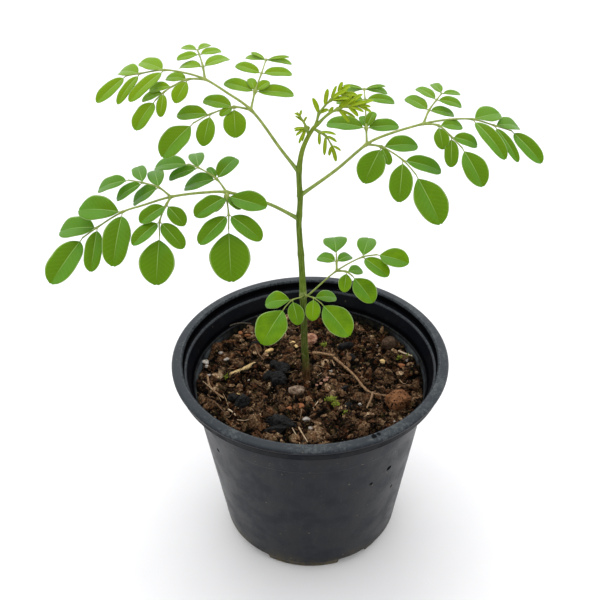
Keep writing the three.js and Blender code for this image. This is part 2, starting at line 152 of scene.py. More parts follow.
class Look:
    """A procedural material. Its colours are wires, or red, green and blue from 0 to 255."""

    def __init__(self, name, **fixed):
        self.material = bpy.data.materials.new(name)
        self.material.use_nodes = True
        self.tree = self.material.node_tree
        self.shader = self.tree.nodes["Principled BSDF"]
        self.fix(self.shader, fixed)
        place = self.node("TexCoord", output="Object")
        self.place = self.node("VectorMath", {"operation": "SCALE"}, {0: place, "Scale": 1 / MM})

    def feed(self, socket, value):
        if isinstance(value, Wire):
            self.tree.links.new(value.socket, socket)
        else:
            socket.default_value = value

    def fix(self, shader, values):
        """Feed sockets of a shader whose names are written in small letters."""
        for socket, value in values.items():
            self.feed(shader.inputs[socket.replace("_", " ").title().replace("Ior", "IOR")], value)

    def node(self, kind, settings=None, sockets=None, output=0):
        made = self.tree.nodes.new("ShaderNode" + kind)
        for key, value in (settings or {}).items():
            setattr(made, key, value)
        for key, value in (sockets or {}).items():
            self.feed(made.inputs[key], value)
        return Wire(self, made.outputs[output])

    def vector(self, operation, first, second, output=0):
        return self.node("VectorMath", {"operation": operation}, {0: first, 1: second}, output)

    def value(self, name):
        """A number that the mesh carries on its points."""
        return self.node("Attribute", {"attribute_name": name}, output="Fac")

    def axis(self, number):
        """One coordinate of the place in millimetres: 0 to the right, 1 away from the camera, 2 up."""
        return self.node("SeparateXYZ", {}, {0: self.place}, output=number)

    def noise(self, size, detail=3, rough=0.5, stretch=None):
        """Cloudy noise around 0.5 whose blobs are about size millimetres across."""
        place = self.vector("MULTIPLY", self.place, stretch) if stretch else self.place
        sockets = {"Vector": place, "Scale": 1 / size, "Detail": detail, "Roughness": rough}
        return self.node("TexNoise", {}, sockets)

    def cells(self, size):
        """The distance to the middle of the nearest of many cells, about size millimetres across."""
        return self.node("TexVoronoi", {}, {"Vector": self.place, "Scale": 1 / size}, "Distance")

    def mix(self, share, first, second):
        first, second = (c if isinstance(c, Wire) else paint(*c) for c in (first, second))
        return self.node("Mix", {"data_type": "RGBA"}, {0: share, 6: first, 7: second}, output=2)

    def coat(self, share, colour):
        """Lay a colour over the colour made so far, where share is 1."""
        self.colour = self.mix(share, self.colour, colour)

    def ramp(self, share, stops):
        """A colour that runs through the stops, each a place from 0 to 1 and a colour."""
        made = self.node("ValToRGB", {}, {0: share})
        elements = made.socket.node.color_ramp.elements
        while len(elements) < len(stops):
            elements.new(1)
        for element, (position, colour) in zip(elements, stops):
            element.position = position
            element.color = paint(*colour)
        return made

    def relief(self, height, depth=0.2):
        """A bump whose height runs from 0 to 1 over depth millimetres."""
        return self.node("Bump", {}, {"Distance": depth * MM, "Height": height})

    def wear(self, **sockets):
        """The finished material: the colour made so far, and what else feeds the shader."""
        self.fix(self.shader, {"base_color": self.colour, **sockets})
        return self.material

    def cover(self, share, **fixed):
        """Lay a second, plain finish over the first where share is 1."""
        second = self.tree.nodes.new("ShaderNodeBsdfPrincipled")
        self.fix(second, fixed)
        blend = self.tree.nodes.new("ShaderNodeMixShader")
        self.feed(blend.inputs[0], share)
        self.tree.links.new(self.shader.outputs[0], blend.inputs[1])
        self.tree.links.new(second.outputs[0], blend.inputs[2])
        self.tree.links.new(blend.outputs[0], self.tree.nodes["Material Output"].inputs["Surface"])


print("shader maths ready:", (Look("trial").value("tone") * 2 + 1).socket.node.operation)
bpy.data.materials.remove(bpy.data.materials["trial"])

# %% [markdown]
# ## Floor and light
# The photograph is a product picture: a white sheet, and soft light that comes from above and behind, so
# that the sheet is pure white around the pot and a little greyer close to it. One big soft lamp above and
# behind the plant and a pale sky that is dimmer on the viewer's side give both, and they give the dark pot
# its pale flanks.

# %% Studio
LAMP_PLACE = (-0.1, 0.5, 1.15)
LAMP_TARGET = (0, 0, 0.12)
SKY = {"From Min": -1, "From Max": 0.6, "To Min": 1.05, "To Max": 1.38}
FLOOR_HALF = 3000

light = bpy.data.lights.new("soft_lamp", "AREA")
light.shape = "DISK"
light.size = 0.9
light.energy = 3.8
lamp = put("soft_lamp", light)
lamp.location = LAMP_PLACE
lamp.rotation_mode = "QUATERNION"
lamp.rotation_quaternion = Vector(np.subtract(LAMP_TARGET, LAMP_PLACE)).to_track_quat("-Z", "Y")

world = bpy.data.worlds.new("studio_sky")
bpy.context.scene.world = world
world.use_nodes = True
tree = world.node_tree
sky = tree.nodes["Background"]
direction = tree.nodes.new("ShaderNodeTexCoord")
split = tree.nodes.new("ShaderNodeSeparateXYZ")
fade = tree.nodes.new("ShaderNodeMapRange")
tree.links.new(direction.outputs["Generated"], split.inputs[0])
tree.links.new(split.outputs["Y"], fade.inputs["Value"])
for socket, value in SKY.items():
    fade.inputs[socket].default_value = value
tree.links.new(fade.outputs[0], sky.inputs["Strength"])
sky.inputs["Color"].default_value = (1, 1, 1, 1)
bpy.context.scene.view_settings.view_transform = "Standard"

corners = [(FLOOR_HALF * x, FLOOR_HALF * y, 0) for x, y in ((-1, -1), (1, -1), (1, 1), (-1, 1))]
floor = put("floor", new_mesh("floor", corners, [(0, 1, 2, 3)]))
sheet = Look("white_sheet", roughness=0.8)
sheet.colour = sheet.mix(sheet.noise(40), (236, 236, 238), (242, 242, 243))
floor.data.materials.append(sheet.wear())
print("studio ready")

# %% [markdown]
# ## Building pieces from points
# Every piece is made of points and faces in millimetres. A form collects them, with numbers on each point
# for the material to read, such as how far a point is from a leaflet's midrib, and becomes one mesh at the
# end.

# %% Forms
class Form:
    """Points, faces and point values of one piece, in millimetres."""

    def __init__(self):
        self.points = []
        self.faces = []
        self.looks = []
        self.values = {}
        self.count = 0

    def add(self, points, faces, look=0, **values):
        points = np.asarray(points, float)
        for name, row in values.items():
            rows = self.values.setdefault(name, [np.zeros(self.count)])
            rows.append(np.broadcast_to(row, len(points)).astype(float))
        for name, rows in self.values.items():
            if name not in values:
                rows.append(np.zeros(len(points)))
        self.points.append(points)
        self.faces.extend(tuple(self.count + i for i in face) for face in faces)
        self.looks.extend([look] * len(faces))
        self.count += len(points)

    def piece(self, name, materials, slot, replaces=None, crease=None):
        mesh = new_mesh(name, np.vstack(self.points), self.faces)
        for title, rows in self.values.items():
            field = mesh.attributes.new(title, "FLOAT", "POINT")
            field.data.foreach_set("value", np.concatenate(rows).astype(np.float32))
        for material in materials:
            mesh.materials.append(material)
        mesh.polygons.foreach_set("material_index", self.looks)
        mesh.shade_smooth()
        if crease:
            mesh.set_sharp_from_angle(angle=math.radians(crease))
        made = put(name, mesh)
        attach(made, "root")
        if replaces:
            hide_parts(replaces)
        print(name, "has", len(mesh.vertices), "points and", len(mesh.polygons), "faces")
        return made


def smooth_route(points, step=1.5):
    """A smooth line through the given points, with a point about every step millimetres."""
    p = np.array(points, float)
    p = np.vstack([2 * p[0] - p[1], p, 2 * p[-1] - p[-2]])
    rows = []
    for a, b, c, d in zip(p, p[1:], p[2:], p[3:]):
        before, here, after = (np.linalg.norm(q) ** 0.5 for q in (b - a, c - b, d - c))
        leave = here * ((b - a) / before - (c - a) / (before + here)) + c - b
        reach = here * ((d - c) / after - (d - b) / (here + after)) + c - b
        count = max(2, math.ceil(np.linalg.norm(c - b) / step))
        t = (np.arange(count) / count)[:, None]
        rows.append((2 * t**3 - 3 * t**2 + 1) * b + (t**3 - 2 * t**2 + t) * leave
                    + (3 * t**2 - 2 * t**3) * c + (t**3 - t**2) * reach)
    return np.vstack([*rows, p[-2:-1]])


def unit(vectors):
    return vectors / np.linalg.norm(vectors, axis=-1, keepdims=True)


def wall(count, first=0):
    """Faces between a ring of count points, numbered from first, and the next ring of as many."""
    pairs = [(first + i, first + (i + 1) % count) for i in range(count)]
    return [(i, j, j + count, i + count) for i, j in pairs]


def bar(route, radii, sides=10):
    """A round bar along a route. Each end is closed by a small dome."""
    radii = np.broadcast_to(radii, len(route)).astype(float)
    ahead = unit(np.gradient(route, axis=0))
    route = np.vstack([route[0] - ahead[0] * radii[0] * 0.6, route, route[-1] + ahead[-1] * radii[-1] * 0.6])
    radii = np.concatenate([[radii[0] * 0.6], radii, [radii[-1] * 0.6]])
    ahead = np.vstack([ahead[:1], ahead, ahead[-1:]])
    side = unit(np.cross(ahead[0], (0.3, 0.9, 0.2) if abs(ahead[0][1]) < 0.8 else (1, 0, 0)))
    angles = np.arange(sides) * TURN / sides
    rings = []
    for centre, radius, forward in zip(route, radii, ahead):
        side = unit(side - forward * (side @ forward))
        up = np.cross(forward, side)
        rings.append(centre + radius * (np.cos(angles)[:, None] * side + np.sin(angles)[:, None] * up))
    faces = [face for k in range(len(rings) - 1) for face in wall(sides, k * sides)]
    faces.append(tuple(reversed(range(sides))))
    faces.append(tuple((len(rings) - 1) * sides + i for i in range(sides)))
    return np.vstack(rings), faces


def lattice_noise(points, size, seed=0):
    """Smooth noise from -1 to 1 that changes over about size millimetres."""
    spot = np.asarray(points, float) / size + 1000 + 17.3 * seed
    corner = np.floor(spot).astype(np.int64)
    share = spot - corner
    share = share * share * (3 - 2 * share)
    total = np.zeros(len(spot))
    for offset in np.ndindex(2, 2, 2):
        x, y, z = (corner + offset).T
        mixed = (x * 73856093) ^ (y * 19349663) ^ (z * 83492791) ^ (seed * 2654435761)
        mixed = ((mixed ^ (mixed >> 13)) * 1274126177) & 0xFFFFFFFF
        weight = np.prod(np.where(offset, share, 1 - share), axis=1)
        total += weight * (mixed / 0x7FFFFFFF - 1)
    return total


print("a bar of 3 points has", len(bar(np.array([[0, 0, 0], [1, 0, 0], [2, 0, 0.1]]), 1)[0]), "corners")

# %% [markdown]
# ## Where the fronds are
# Each frond is given the way a botanist would describe it: points along its midrib, the rachis, then side
# stalks on some of those points, and leaflets. A leaflet is the point it grows from, its length and width
# in millimetres, the way it points seen from above, and how far it hangs below level, both in degrees. The
# solids are built from the same kind of rows, so the fine leaflets lie where the plain ones are. The young
# fronds and two of the topmost stalks have a few more leaflets here, each a small thin blade beside the
# plain ones.

# %% Frond rows
# A frond: its name, its widths at both ends, the points of its rachis, the leaflets on the rachis, and its
# side stalks, each with the rachis point it leaves, its own points and its leaflets.
FRONDS = [
  ("frond_lower_left", (2, 1.1),
   [(-5, 2.5, 203), (-20, 1, 213), (-40, -1, 221), (-51, -1, 221), (-67, -3, 220), (-81, -4, 216),
    (-91, -5, 213), (-104, -6, 205), (-112, -6, 199)],
   [(6, 23, 14.5, 167, 4), (6, 28, 13.5, -99, 36), (7, 23, 12.5, 160, 17), (7, 23, 9, -97, 36),
    (8, 27.9, 14.8, -125, 28)],
   [(2, [(-40, -3, 220), (-39, -10, 214), (-39, -15, 209)],
     [(1, 21, 12, -22, 4), (1, 10, 5, -40, 22), (1, 19, 10, -143, 13), (1, 10, 4.5, -128, 25),
      (2, 21, 10, -37, 20), (2, 21, 10, -134, 21), (3, 26, 19.5, -86, 44)]),
    (2, [(-45, 5, 225), (-54, 11, 228), (-59, 13, 229)],
     [(1, 18, 9, 60, -10), (1, 10, 4, 118, -9), (1, 21, 10.5, 154, 26), (2, 19, 8, 99, 6),
      (2, 19, 7, 161, 28), (3, 23, 9.5, 148, 20)]),
    (4, [(-69, -7, 218), (-72, -14, 213), (-72, -19, 208)],
     [(1, 14, 8.5, -44, 28), (1, 16, 8.5, -140, 13), (2, 18, 8.5, -43, 28), (2, 18, 8.5, -135, 17),
      (3, 24, 17, -94, 43)]),
    (4, [(-73, 1, 223), (-81, 4, 224), (-88, 5, 225)],
     [(1, 20, 8.5, 102, 4), (1, 19, 9.5, 160, 37), (2, 18, 7.5, 105, 2), (2, 18, 7.5, 171, 36),
      (3, 22, 9, 153, 28)])]),
  ("frond_upper_left", (1.9, 1),
   [(-5, 2.5, 230), (-13, 4, 241), (-27, 7, 261), (-38, 9, 269), (-48, 11, 275), (-56, 13, 277),
    (-67, 15, 278), (-79, 18, 275), (-86, 20, 273)],
   [(6, 17, 8.5, 137, 3), (6, 23, 7, -137, 22), (7, 17, 8.5, 134, 15), (7, 19, 5, -126, 28),
    (8, 19, 7.5, -142, 26)],
   [(2, [(-25, 14, 267), (-22, 23, 272), (-20, 34, 274)],
     [(1, 20, 8, 20, 14), (1, 9, 5, 40, -16), (1, 18, 7.5, 146, -1), (1, 9, 4.5, 107, -20),
      (2, 16, 6.5, 23, 11), (2, 15, 6, 147, -3), (3, 14, 4.5, 21, 18), (3, 14, 4.5, 138, 11),
      (3, 12, 2.2, 20, 2), (3, 11, 2.2, 133, -2)]),
    (2, [(-35, 8, 262), (-46, 5, 260), (-54, 2, 257)],
     [(1, 16, 8.5, 156, -3), (1, 8, 4.5, -150, 18), (1, 15, 11, -86, 44), (2, 17, 9.5, 165, 8),
      (2, 16, 9, -106, 41), (3, 22, 13.5, -138, 29)]),
    (4, [(-49, 16, 279), (-51, 23, 282), (-52, 26, 283)],
     [(1, 17, 6.5, 48, 5), (1, 15, 6, 145, 15), (2, 14, 5, 46, 10), (2, 13, 5, 157, 18), (3, 11, 4, 60, 8),
      (3, 13, 4, 132, 12)]),
    (4, [(-56, 11, 275), (-63, 8, 273), (-67, 6, 271), (-71, 4, 268)],
     [(1, 13, 6.5, 148, 10), (1, 13, 7.5, -123, 36), (2, 12, 6.5, 167, 14), (3, 12, 5.5, 172, 24),
      (3, 12, 5, -100, 44), (4, 17, 8.5, -131, 35)])]),
  ("frond_upper_right", (2, 1),
   [(-5, 2.5, 216), (13, 5, 229), (28, 7, 242), (34, 8, 245), (55, 10, 251), (67, 12, 252), (79, 14, 251),
    (90, 15, 247), (99, 17, 243)],
   [(6, 18, 11, 34, 6), (6, 26, 8.5, -53, 26), (7, 17, 9.5, 32, 18), (7, 22, 5.5, -58, 30),
    (8, 21.9, 9, -47, 27)],
   [(2, [(28, 14, 247), (28, 29, 255), (28, 36, 257)],
     [(1, 18, 8, 24, 8), (1, 10, 5, 62, -28), (1, 21, 9.5, 154, 5), (1, 9, 4.5, 102, -14),
      (2, 16, 6.5, 15, 14), (2, 16, 6.5, 154, 17), (3, 14, 4.6, 24, 20), (3, 13, 4.6, 144, 23),
      (3, 12, 2.2, 24, 4), (3, 12, 2.2, 148, 4)]),
    (2, [(35, 6, 241), (45, 0, 237), (51, -5, 232)],
     [(1, 19, 10.5, 17, 7), (1, 20, 13.5, -123, 37), (1, 10, 5, -64, 34), (2, 21, 9.5, 9, 22),
      (2, 21, 11.5, -99, 41), (3, 27, 16, -60, 37)]),
    (4, [(58, 16, 255), (62, 21, 258), (65, 26, 259)],
     [(1, 15, 6.5, 22, 20), (1, 17, 7, 125, -1), (2, 14, 6, 12, 20), (2, 15, 6, 124, -2),
      (3, 12, 4, 30, 16), (3, 13, 5, 104, 3)]),
    (4, [(62, 8, 251), (68, 4, 247), (73, 0, 243)],
     [(1, 13, 7.5, 18, 12), (1, 12, 7.5, -79, 42), (2, 14, 7.5, 5, 22), (2, 15, 7, -94, 43),
      (3, 21, 12, -58, 37)])]),
  ("frond_low_right", (1.6, 1.1),
   [(-3, 2.5, 154), (0, 2, 157), (14, 0, 173), (27, -1, 182), (34, -2, 184)],
   [(3, 17, 10, 76, -3), (3, 17, 9, -41, 15), (4, 17, 12, -23, 3)],
   [(2, [(14, 4, 176), (14, 8, 178)],
     [(1, 12, 6, 48, 12), (1, 13, 7, 138, 12), (2, 16, 12.5, 92, 0)]),
    (2, [(19, -1, 173), (22, -2, 171)],
     [(1, 11, 6.5, 36, 18), (1, 11, 7, -100, 36), (2, 17.5, 12, -49, 28)])]),
  ("leaf_front_left", (1, 0.8),
   [(-3, 2.5, 157), (-4, -1, 157.5), (-9, -3, 157), (-13, -7, 155)],
   [(2, 16, 10, 162, 20), (2, 14, 8.5, -75, 33), (3, 22.5, 16.5, -127, 31)], []),
  ("leaf_front_right", (1, 0.8),
   [(-3, 2.5, 159), (-2, -1, 158.5), (2, -2, 157.5), (6, -5, 156)],
   [(2, 14, 8, 26, 17), (2, 12.5, 8, -94, 35), (3, 22.5, 15, -46, 27)], []),
  ("young_frond_main", (1.5, 1),
   [(4, 2.5, 255), (9.3, 2.5, 260.5), (13.8, 2.5, 263), (18.3, 2.5, 264.5), (23, 2.5, 264.5)],
   [(1, 4, 1.8, 35, -45), (2, 9, 2.4, 25, -38), (2, 8, 2.2, -35, 38), (3, 9, 2.4, 30, -28),
    (3, 7, 2.2, -40, 28), (4, 8, 2.2, 20, -12), (4, 7, 2, -12, 22), (2, 9, 2.4, 10, -30),
    (3, 9, 2.6, 5, -12), (3, 8, 2, -20, 12), (4, 6, 1.8, 0, 4), (2, 9, 1.8, -10, 24)], []),
  ("young_frond_upper", (1.3, 0.9),
   [(3, 2.5, 254), (4, 3, 257), (4.9, 4, 260), (7.7, 5, 263.5), (10.6, 6, 266), (14, 7, 268.5)],
   [(2, 8, 2.4, 150, -66), (2, 5, 2.2, 10, -20), (3, 8, 2.2, 60, -70), (4, 7, 1.6, 50, -55),
    (4, 9, 2.8, -20, -14), (5, 7, 2.8, 20, -30), (5, 6, 2, 60, -50), (4, 11, 3, -10, 2), (5, 9, 3, 0, 4),
    (4, 9, 2.4, 0, -34), (5, 10, 2.4, -5, 14)], []),
  ("young_frond_drooping", (1.2, 0.9),
   [(2.5, 2.5, 253), (5, 0, 252.6), (8, -1, 251), (10.8, -2, 246.5)],
   [(1, 8, 1.8, -10, 5), (1, 6, 1.6, -90, 58), (2, 6, 1.8, -8, 28), (2, 9, 1.8, -100, 62),
    (3, 5, 1.6, -20, 24), (3, 8, 2, -50, 66), (3, 5, 1.6, -120, 60)], []),
  ("young_frond_small", (1.2, 0.9),
   [(0, 2.5, 250), (-1, 1, 254), (-2.2, 0.5, 257.5), (-4, 0.5, 260.5)],
   [(1, 6, 1.6, 175, 4), (1, 6, 1.6, -165, 30), (1, 8, 1.6, -150, 58), (2, 3, 1.2, 20, -60),
    (3, 3, 1.2, 170, -30), (3, 3, 1.2, 60, -60), (1, 6, 1.4, 172, 16), (2, 5, 1.3, 175, -38),
    (1, 7, 1.3, -170, 72), (3, 2.5, 1.1, 160, -50)], []),
]

STEM_ROUTE = [
  (-2, 2.5, 70), (-2, 2.5, 100), (-2.9, 2.5, 125), (-3.3, 2.5, 153), (-3.9, 2.5, 174), (-4.9, 2.5, 194),
  (-5.1, 2.5, 201), (-4.5, 2.5, 210), (-4.3, 2.5, 215), (-4.7, 2.5, 224), (-4.6, 2.5, 232), (-2.6, 2.5, 243),
  (2, 2.5, 252.8), (4.9, 2.5, 256),
]
STEM_WIDTHS = [(70, 4.3), (104, 4.2), (118, 3.9), (130, 3.6), (158, 3.6), (182, 3.1), (205, 2.8), (232, 2.7),
               (243, 2.3), (256, 1.8)]
leaflet_total = sum(len(leaflets) + sum(len(row[2]) for row in pinnae) for *_, leaflets, pinnae in FRONDS)
print(len(FRONDS), "fronds with", leaflet_total, "leaflets")

# %% [markdown]
# ## Leaf materials
# A moringa leaflet is smooth and a little waxy. It has a pale midrib, about eight pairs of faint side veins
# that lean towards the tip, a thin pale rim, and a duller, greyer underside. The mesh carries the distance
# along the blade and across it, so the veins are drawn from those two numbers and follow every leaflet as
# it bends.

# %% Leaf look
CROWN = (236, 286)
VEIN_SPACING = 0.105


def leaf_look(name, deep, fresh, painted_sheen_colour, under, vein):
    look = Look(name, specular_ior_level=0.1, subsurface_weight=0.1, subsurface_scale=0.001,
                subsurface_radius=(0.5, 1.0, 0.1), sheen_weight=0.1, sheen_roughness=0.4,
                sheen_tint=(0.75, 0.95, 1, 1))
    along, across, size, rim, below = map(look.value, ("along", "across", "size", "rim", "below"))
    across = abs(across)
    cloud = look.noise(5, 4)
    look.colour = look.mix((cloud + look.value("tone") - 0.5).between(0.2, 0.8), deep, fresh)
    # Painted reflection: the half of each blade turned away from the camera is painted a paler blue green,
    # standing in for the sheen of the sky.
    look.coat(look.value("cool") * (0.3 + cloud * 0.7), painted_sheen_colour)
    look.coat(look.axis(2).between(*CROWN) * 0.4, (150, 178, 6))
    phase = (along - across * 0.8) / (size * VEIN_SPACING) + look.noise(3) * 0.5
    ridge = abs(phase.maths("FRACT", phase) - 0.5)
    side_vein = ridge.between(0.1, 0.0) * rim.between(1.0, 0.75) * across.between(0.2, 0.8)
    midrib = across.between(0.26, 0.07) * (along / size).between(1.0, 0.35)
    look.coat(side_vein * 0.07, vein)
    look.coat(midrib * (0.36 + size * 0.012), vein)
    look.coat(rim.between(0.9, 0.96) * 0.7, vein)
    look.coat(below.between(0.2, 0.8), under)
    relief = look.cells(0.45) * 0.12 - side_vein * 0.2 - midrib * 0.9 + look.noise(1.6) * 0.6
    return look.wear(roughness=0.36 + cloud * 0.16 + below * 0.2, normal=look.relief(relief, 0.12))


def stalk_look(name, pale, deep, foot):
    look = Look(name, roughness=0.45, subsurface_weight=0.1, subsurface_scale=0.001)
    share = (look.noise(1.4, stretch=(1, 1, 0.35)) * 0.7 + look.noise(9) * 0.5).between(0.3, 0.85)
    look.colour = look.mix(share, pale, deep)
    look.coat(look.value("near") * 0.8, foot)
    return look.wear(normal=look.relief(look.noise(0.5), 0.08))


leaf = leaf_look("moringa_leaf", (82, 117, 0), (106, 142, 0), (84, 134, 38), (112, 150, 62), (160, 192, 108))
young_leaf = leaf_look("young_leaf", (116, 138, 0), (156, 172, 6), (142, 166, 26), (136, 160, 50),
                       (180, 192, 70))
stalk = stalk_look("leaf_stalk", (152, 166, 80), (110, 130, 38), (96, 126, 30))
young_stalk = stalk_look("young_stalk", (136, 156, 40), (104, 124, 16), (104, 130, 30))
print("leaf looks:", leaf.name, young_leaf.name)

# %% [markdown]
# ## One leaflet
# A leaflet is a thin folded sheet: wedge-shaped where it leaves its little stalk, widest past the middle,
# round at the tip with a tiny notch. The leaflet at the end of a stalk is kite-shaped, those in pairs are
# oval, and young ones are lance-shaped, so each kind has its own outline: a few widths along the blade,
# joined by a smooth curve. The sheet gets a top and an underside that meet at the rim, so it is a closed
# body. It is folded at the midrib, each half is slightly domed, and the tip hangs a little.

# %% Leaflets
LIGHT = np.array([0, -0.4, 0.92])
TOWARDS_CAMERA = (-460, 270)
FOLD = {False: 0.35, True: 0.5}
BLADE_BULGE = 0.05
BLADE_THICKNESS = 0.32
RIB = 0.35
# Where the painted sheen starts, and over how much turn from the camera it grows to full.
PAINTED_SHEEN_FROM = 0.16
PAINTED_SHEEN_OVER = 0.16
OUTLINES = {
  "kite": [(0, 0.02), (0.04, 0.1), (0.13, 0.245), (0.27, 0.4), (0.39, 0.475), (0.52, 0.5), (0.66, 0.485),
           (0.78, 0.425), (0.88, 0.335), (0.95, 0.225), (1, 0.08)],
  "oval": [(0, 0.03), (0.035, 0.15), (0.11, 0.29), (0.24, 0.42), (0.38, 0.49), (0.52, 0.5), (0.67, 0.48),
           (0.8, 0.43), (0.9, 0.335), (0.96, 0.23), (1, 0.08)],
  "lance": [(0, 0.14), (0.06, 0.28), (0.2, 0.43), (0.5, 0.5), (0.75, 0.46), (0.9, 0.33), (0.97, 0.2),
            (1, 0.08)],
}
random_leaf = np.random.default_rng(7)


def half_width(share, kind):
    """Half the width of a blade that is 1 wide, from its base at 0 to its tip at 1."""
    curve = smooth_route([(along, half, 0) for along, half in OUTLINES[kind]], step=0.01)
    return np.interp(share, curve[:, 0], curve[:, 1])


def blade_axes(bearing, droop):
    turn, fall = math.radians(bearing), math.radians(droop)
    along = np.array([math.cos(fall) * math.cos(turn), math.cos(fall) * math.sin(turn), -math.sin(fall)])
    side = unit(np.cross(LIGHT, along))
    return np.array([along, side, np.cross(along, side)])


def blade(length, width, young):
    """Points of one blade along X with its face up, its faces, its point values and its upward directions."""
    rows, columns = (26, 17) if width > 7 else (18, 11) if width > 3 else (12, 7)
    share = 0.5 - 0.5 * np.cos(np.linspace(0, math.pi, rows))
    spread = np.linspace(-1, 1, columns)
    spread = np.sign(spread) * abs(spread) ** 1.25
    half = width * half_width(share, "lance" if young else "kite" if width / length > 0.6 else "oval")
    u, t = np.meshgrid(share, spread, indexing="ij")
    wave, roll, bend = random_leaf.uniform(0, 6.28), random_leaf.normal(0, 0.05), random_leaf.normal(0, 0.35)
    wavy = 1 + 0.014 * np.sin(9 * u + wave) + 0.006 * np.sin(17 * u - wave) * np.sign(t)
    y = t * (half[:, None] * wavy)
    notch = 0.024 * length * np.exp(-(y / (0.025 * width + 0.12)) ** 2) * np.clip((u - 0.93) / 0.07, 0, 1)
    lobes = 0.02 * length * (1 - t**2) * np.clip((u - 0.8) / 0.2, 0, 1)
    x = u * length - (not young) * (notch - lobes)
    fold = FOLD[young] * (np.sqrt(y**2 + 0.06) - 0.25)
    dome = -0.35 * fold * abs(t)
    arch = 4 * BLADE_BULGE * length * u * (1 - u) * (1 + bend) - 0.02 * length * u**4
    ripple = 0.016 * width * np.sin(11 * u + wave + 2 * np.sign(t)) * t**2
    z = fold + dome + arch + ripple + roll * y
    thick = BLADE_THICKNESS * (1 - t**2) ** 0.5 * (0.6 + 0.4 * (1 - u))
    rib = RIB * np.exp(-(y / RIB) ** 2) * (1 - u) ** 0.7 * (t**2 < 0.99)
    middle, top, low = (np.stack([x, y, level], -1) for level in (z, z + thick / 2, z - thick / 2 - rib))
    upward = unit(np.cross(np.gradient(middle, axis=0), np.gradient(middle, axis=1)) + (0, 0, 1e-9))
    index = np.arange(rows * columns).reshape(rows, columns)
    inner = np.zeros((rows, columns), bool)
    inner[1:-1, 1:-1] = True
    under = index.copy()
    under[inner] = rows * columns + np.arange(inner.sum())
    faces = []
    for k in range(rows - 1):
        for j in range(columns - 1):
            faces.append((index[k, j], index[k + 1, j], index[k + 1, j + 1], index[k, j + 1]))
            faces.append((under[k, j], under[k, j + 1], under[k + 1, j + 1], under[k + 1, j]))

    def both(above, beneath):
        """What belongs to the points of the top, then of the underside, which shares the top's rim."""
        return np.concatenate([above[inner | True], beneath[inner]])

    values = {"along": u * length, "across": y, "rim": abs(t)}
    values = {name: both(grid, grid) for name, grid in values.items()}
    values.update(below=both(0 * u, 0 * u + 1), size=length, tone=random_leaf.uniform(-0.25, 0.25))
    return both(top, low), faces, values, both(upward, upward)


def add_leaflet(form, base, row, young, pale):
    """A leaflet on its own short stalk. The half turned away from the camera carries a painted sheen."""
    _, length, width, bearing, droop = row
    axes = blade_axes(bearing, droop)
    along, base = axes[0], np.array(base, float)
    stalk_length = 0.35 + (0.03 if young else 0.075) * length
    start = base + along * stalk_length
    points, faces, values, upward = blade(length - stalk_length, width, young)
    points = start + points @ axes
    sight = [np.full(len(points), reach) for reach in TOWARDS_CAMERA]
    turned = 1 - np.einsum("ij,ij->i", upward @ axes, unit(np.column_stack([-2 * points[:, 0], *sight])))
    values["tone"] += pale
    form.add(points, faces, cool=np.clip((turned - PAINTED_SHEEN_FROM) / PAINTED_SHEEN_OVER, 0, 1), **values)
    thin = 0.26 if young else 0.3
    route = np.linspace(base, start + along * 0.1 * length, 5)
    form.add(*bar(route, np.linspace(thin, 0.55 * thin, 5), sides=6), look=1)


print("a large blade has", len(blade(24, 16, False)[0]), "points")

# %% [markdown]
# ## The fronds
# The rachis is thick where it joins the stem and thins towards the tip, with a small swelling wherever side
# stalks leave it. The lowest leaves have thinner stalks and fresher blades. All of one frond is a single
# mesh that replaces its solid.

# %% Fronds
PINNA_WIDTHS = (0.95, 0.6)
LOW_FROND = 180


def add_stalk(form, points, first, last, joints=(), sides=10, foot=0.0):
    """A stalk with a foot that thickens towards its start and a swelling at each joint."""
    route = smooth_route(points)
    travelled = np.append(0, np.cumsum(np.linalg.norm(np.diff(route, axis=0), axis=1)))
    radii = 0.5 * (last + (first - last) * (1 - travelled / travelled[-1]))
    radii = radii * (1 + 0.5 * np.exp(-travelled / 3.5))
    for joint in joints:
        radii = radii * (1 + 0.28 * np.exp(-(np.linalg.norm(route - np.array(joint), axis=1) / 1.3) ** 2))
    near = foot * np.exp(-np.linalg.norm(route - route[0], axis=1) / 12)
    form.add(*bar(route, radii, sides), look=1, near=np.repeat(np.pad(near, 1, mode="edge"), sides))


for name, (first, last), rachis, leaflets, pinnae in FRONDS:
    form = Form()
    young = name.startswith("young")
    low = not young and rachis[0][2] < LOW_FROND
    joints = [rachis[row[0]] for row in [*pinnae, *leaflets]]
    add_stalk(form, rachis, first * (0.58 if low else 0.9), last * 0.64, joints, 14, 0.1 if low else 1.0)
    for row in leaflets:
        add_leaflet(form, rachis[row[0]], row, young, 0.45 * low)
    for start, route, leaflets in pinnae:
        route = [rachis[start], *route]
        add_stalk(form, route, *PINNA_WIDTHS, [route[row[0]] for row in leaflets])
        for row in leaflets:
            add_leaflet(form, route[row[0]], row, young, 0.45 * low)
    looks = [young_leaf, young_stalk] if young else [leaf, stalk]
    form.piece("fine_" + name, looks, "young_leaf" if young else "leaf", name)

# %% [markdown]
# ## The stem
# The stem is brown and woody where it leaves the soil, olive with a pale dusty bloom up to the first
# leaves, and clear green above. Every old leaf leaves a small swelling, so the radius has a bump at each of
# those heights.

# %% Stem
LEAF_NODES = [156, 182, 205, 217, 231]
RING_HEIGHT = 157
COLLAR_HEIGHT = 99


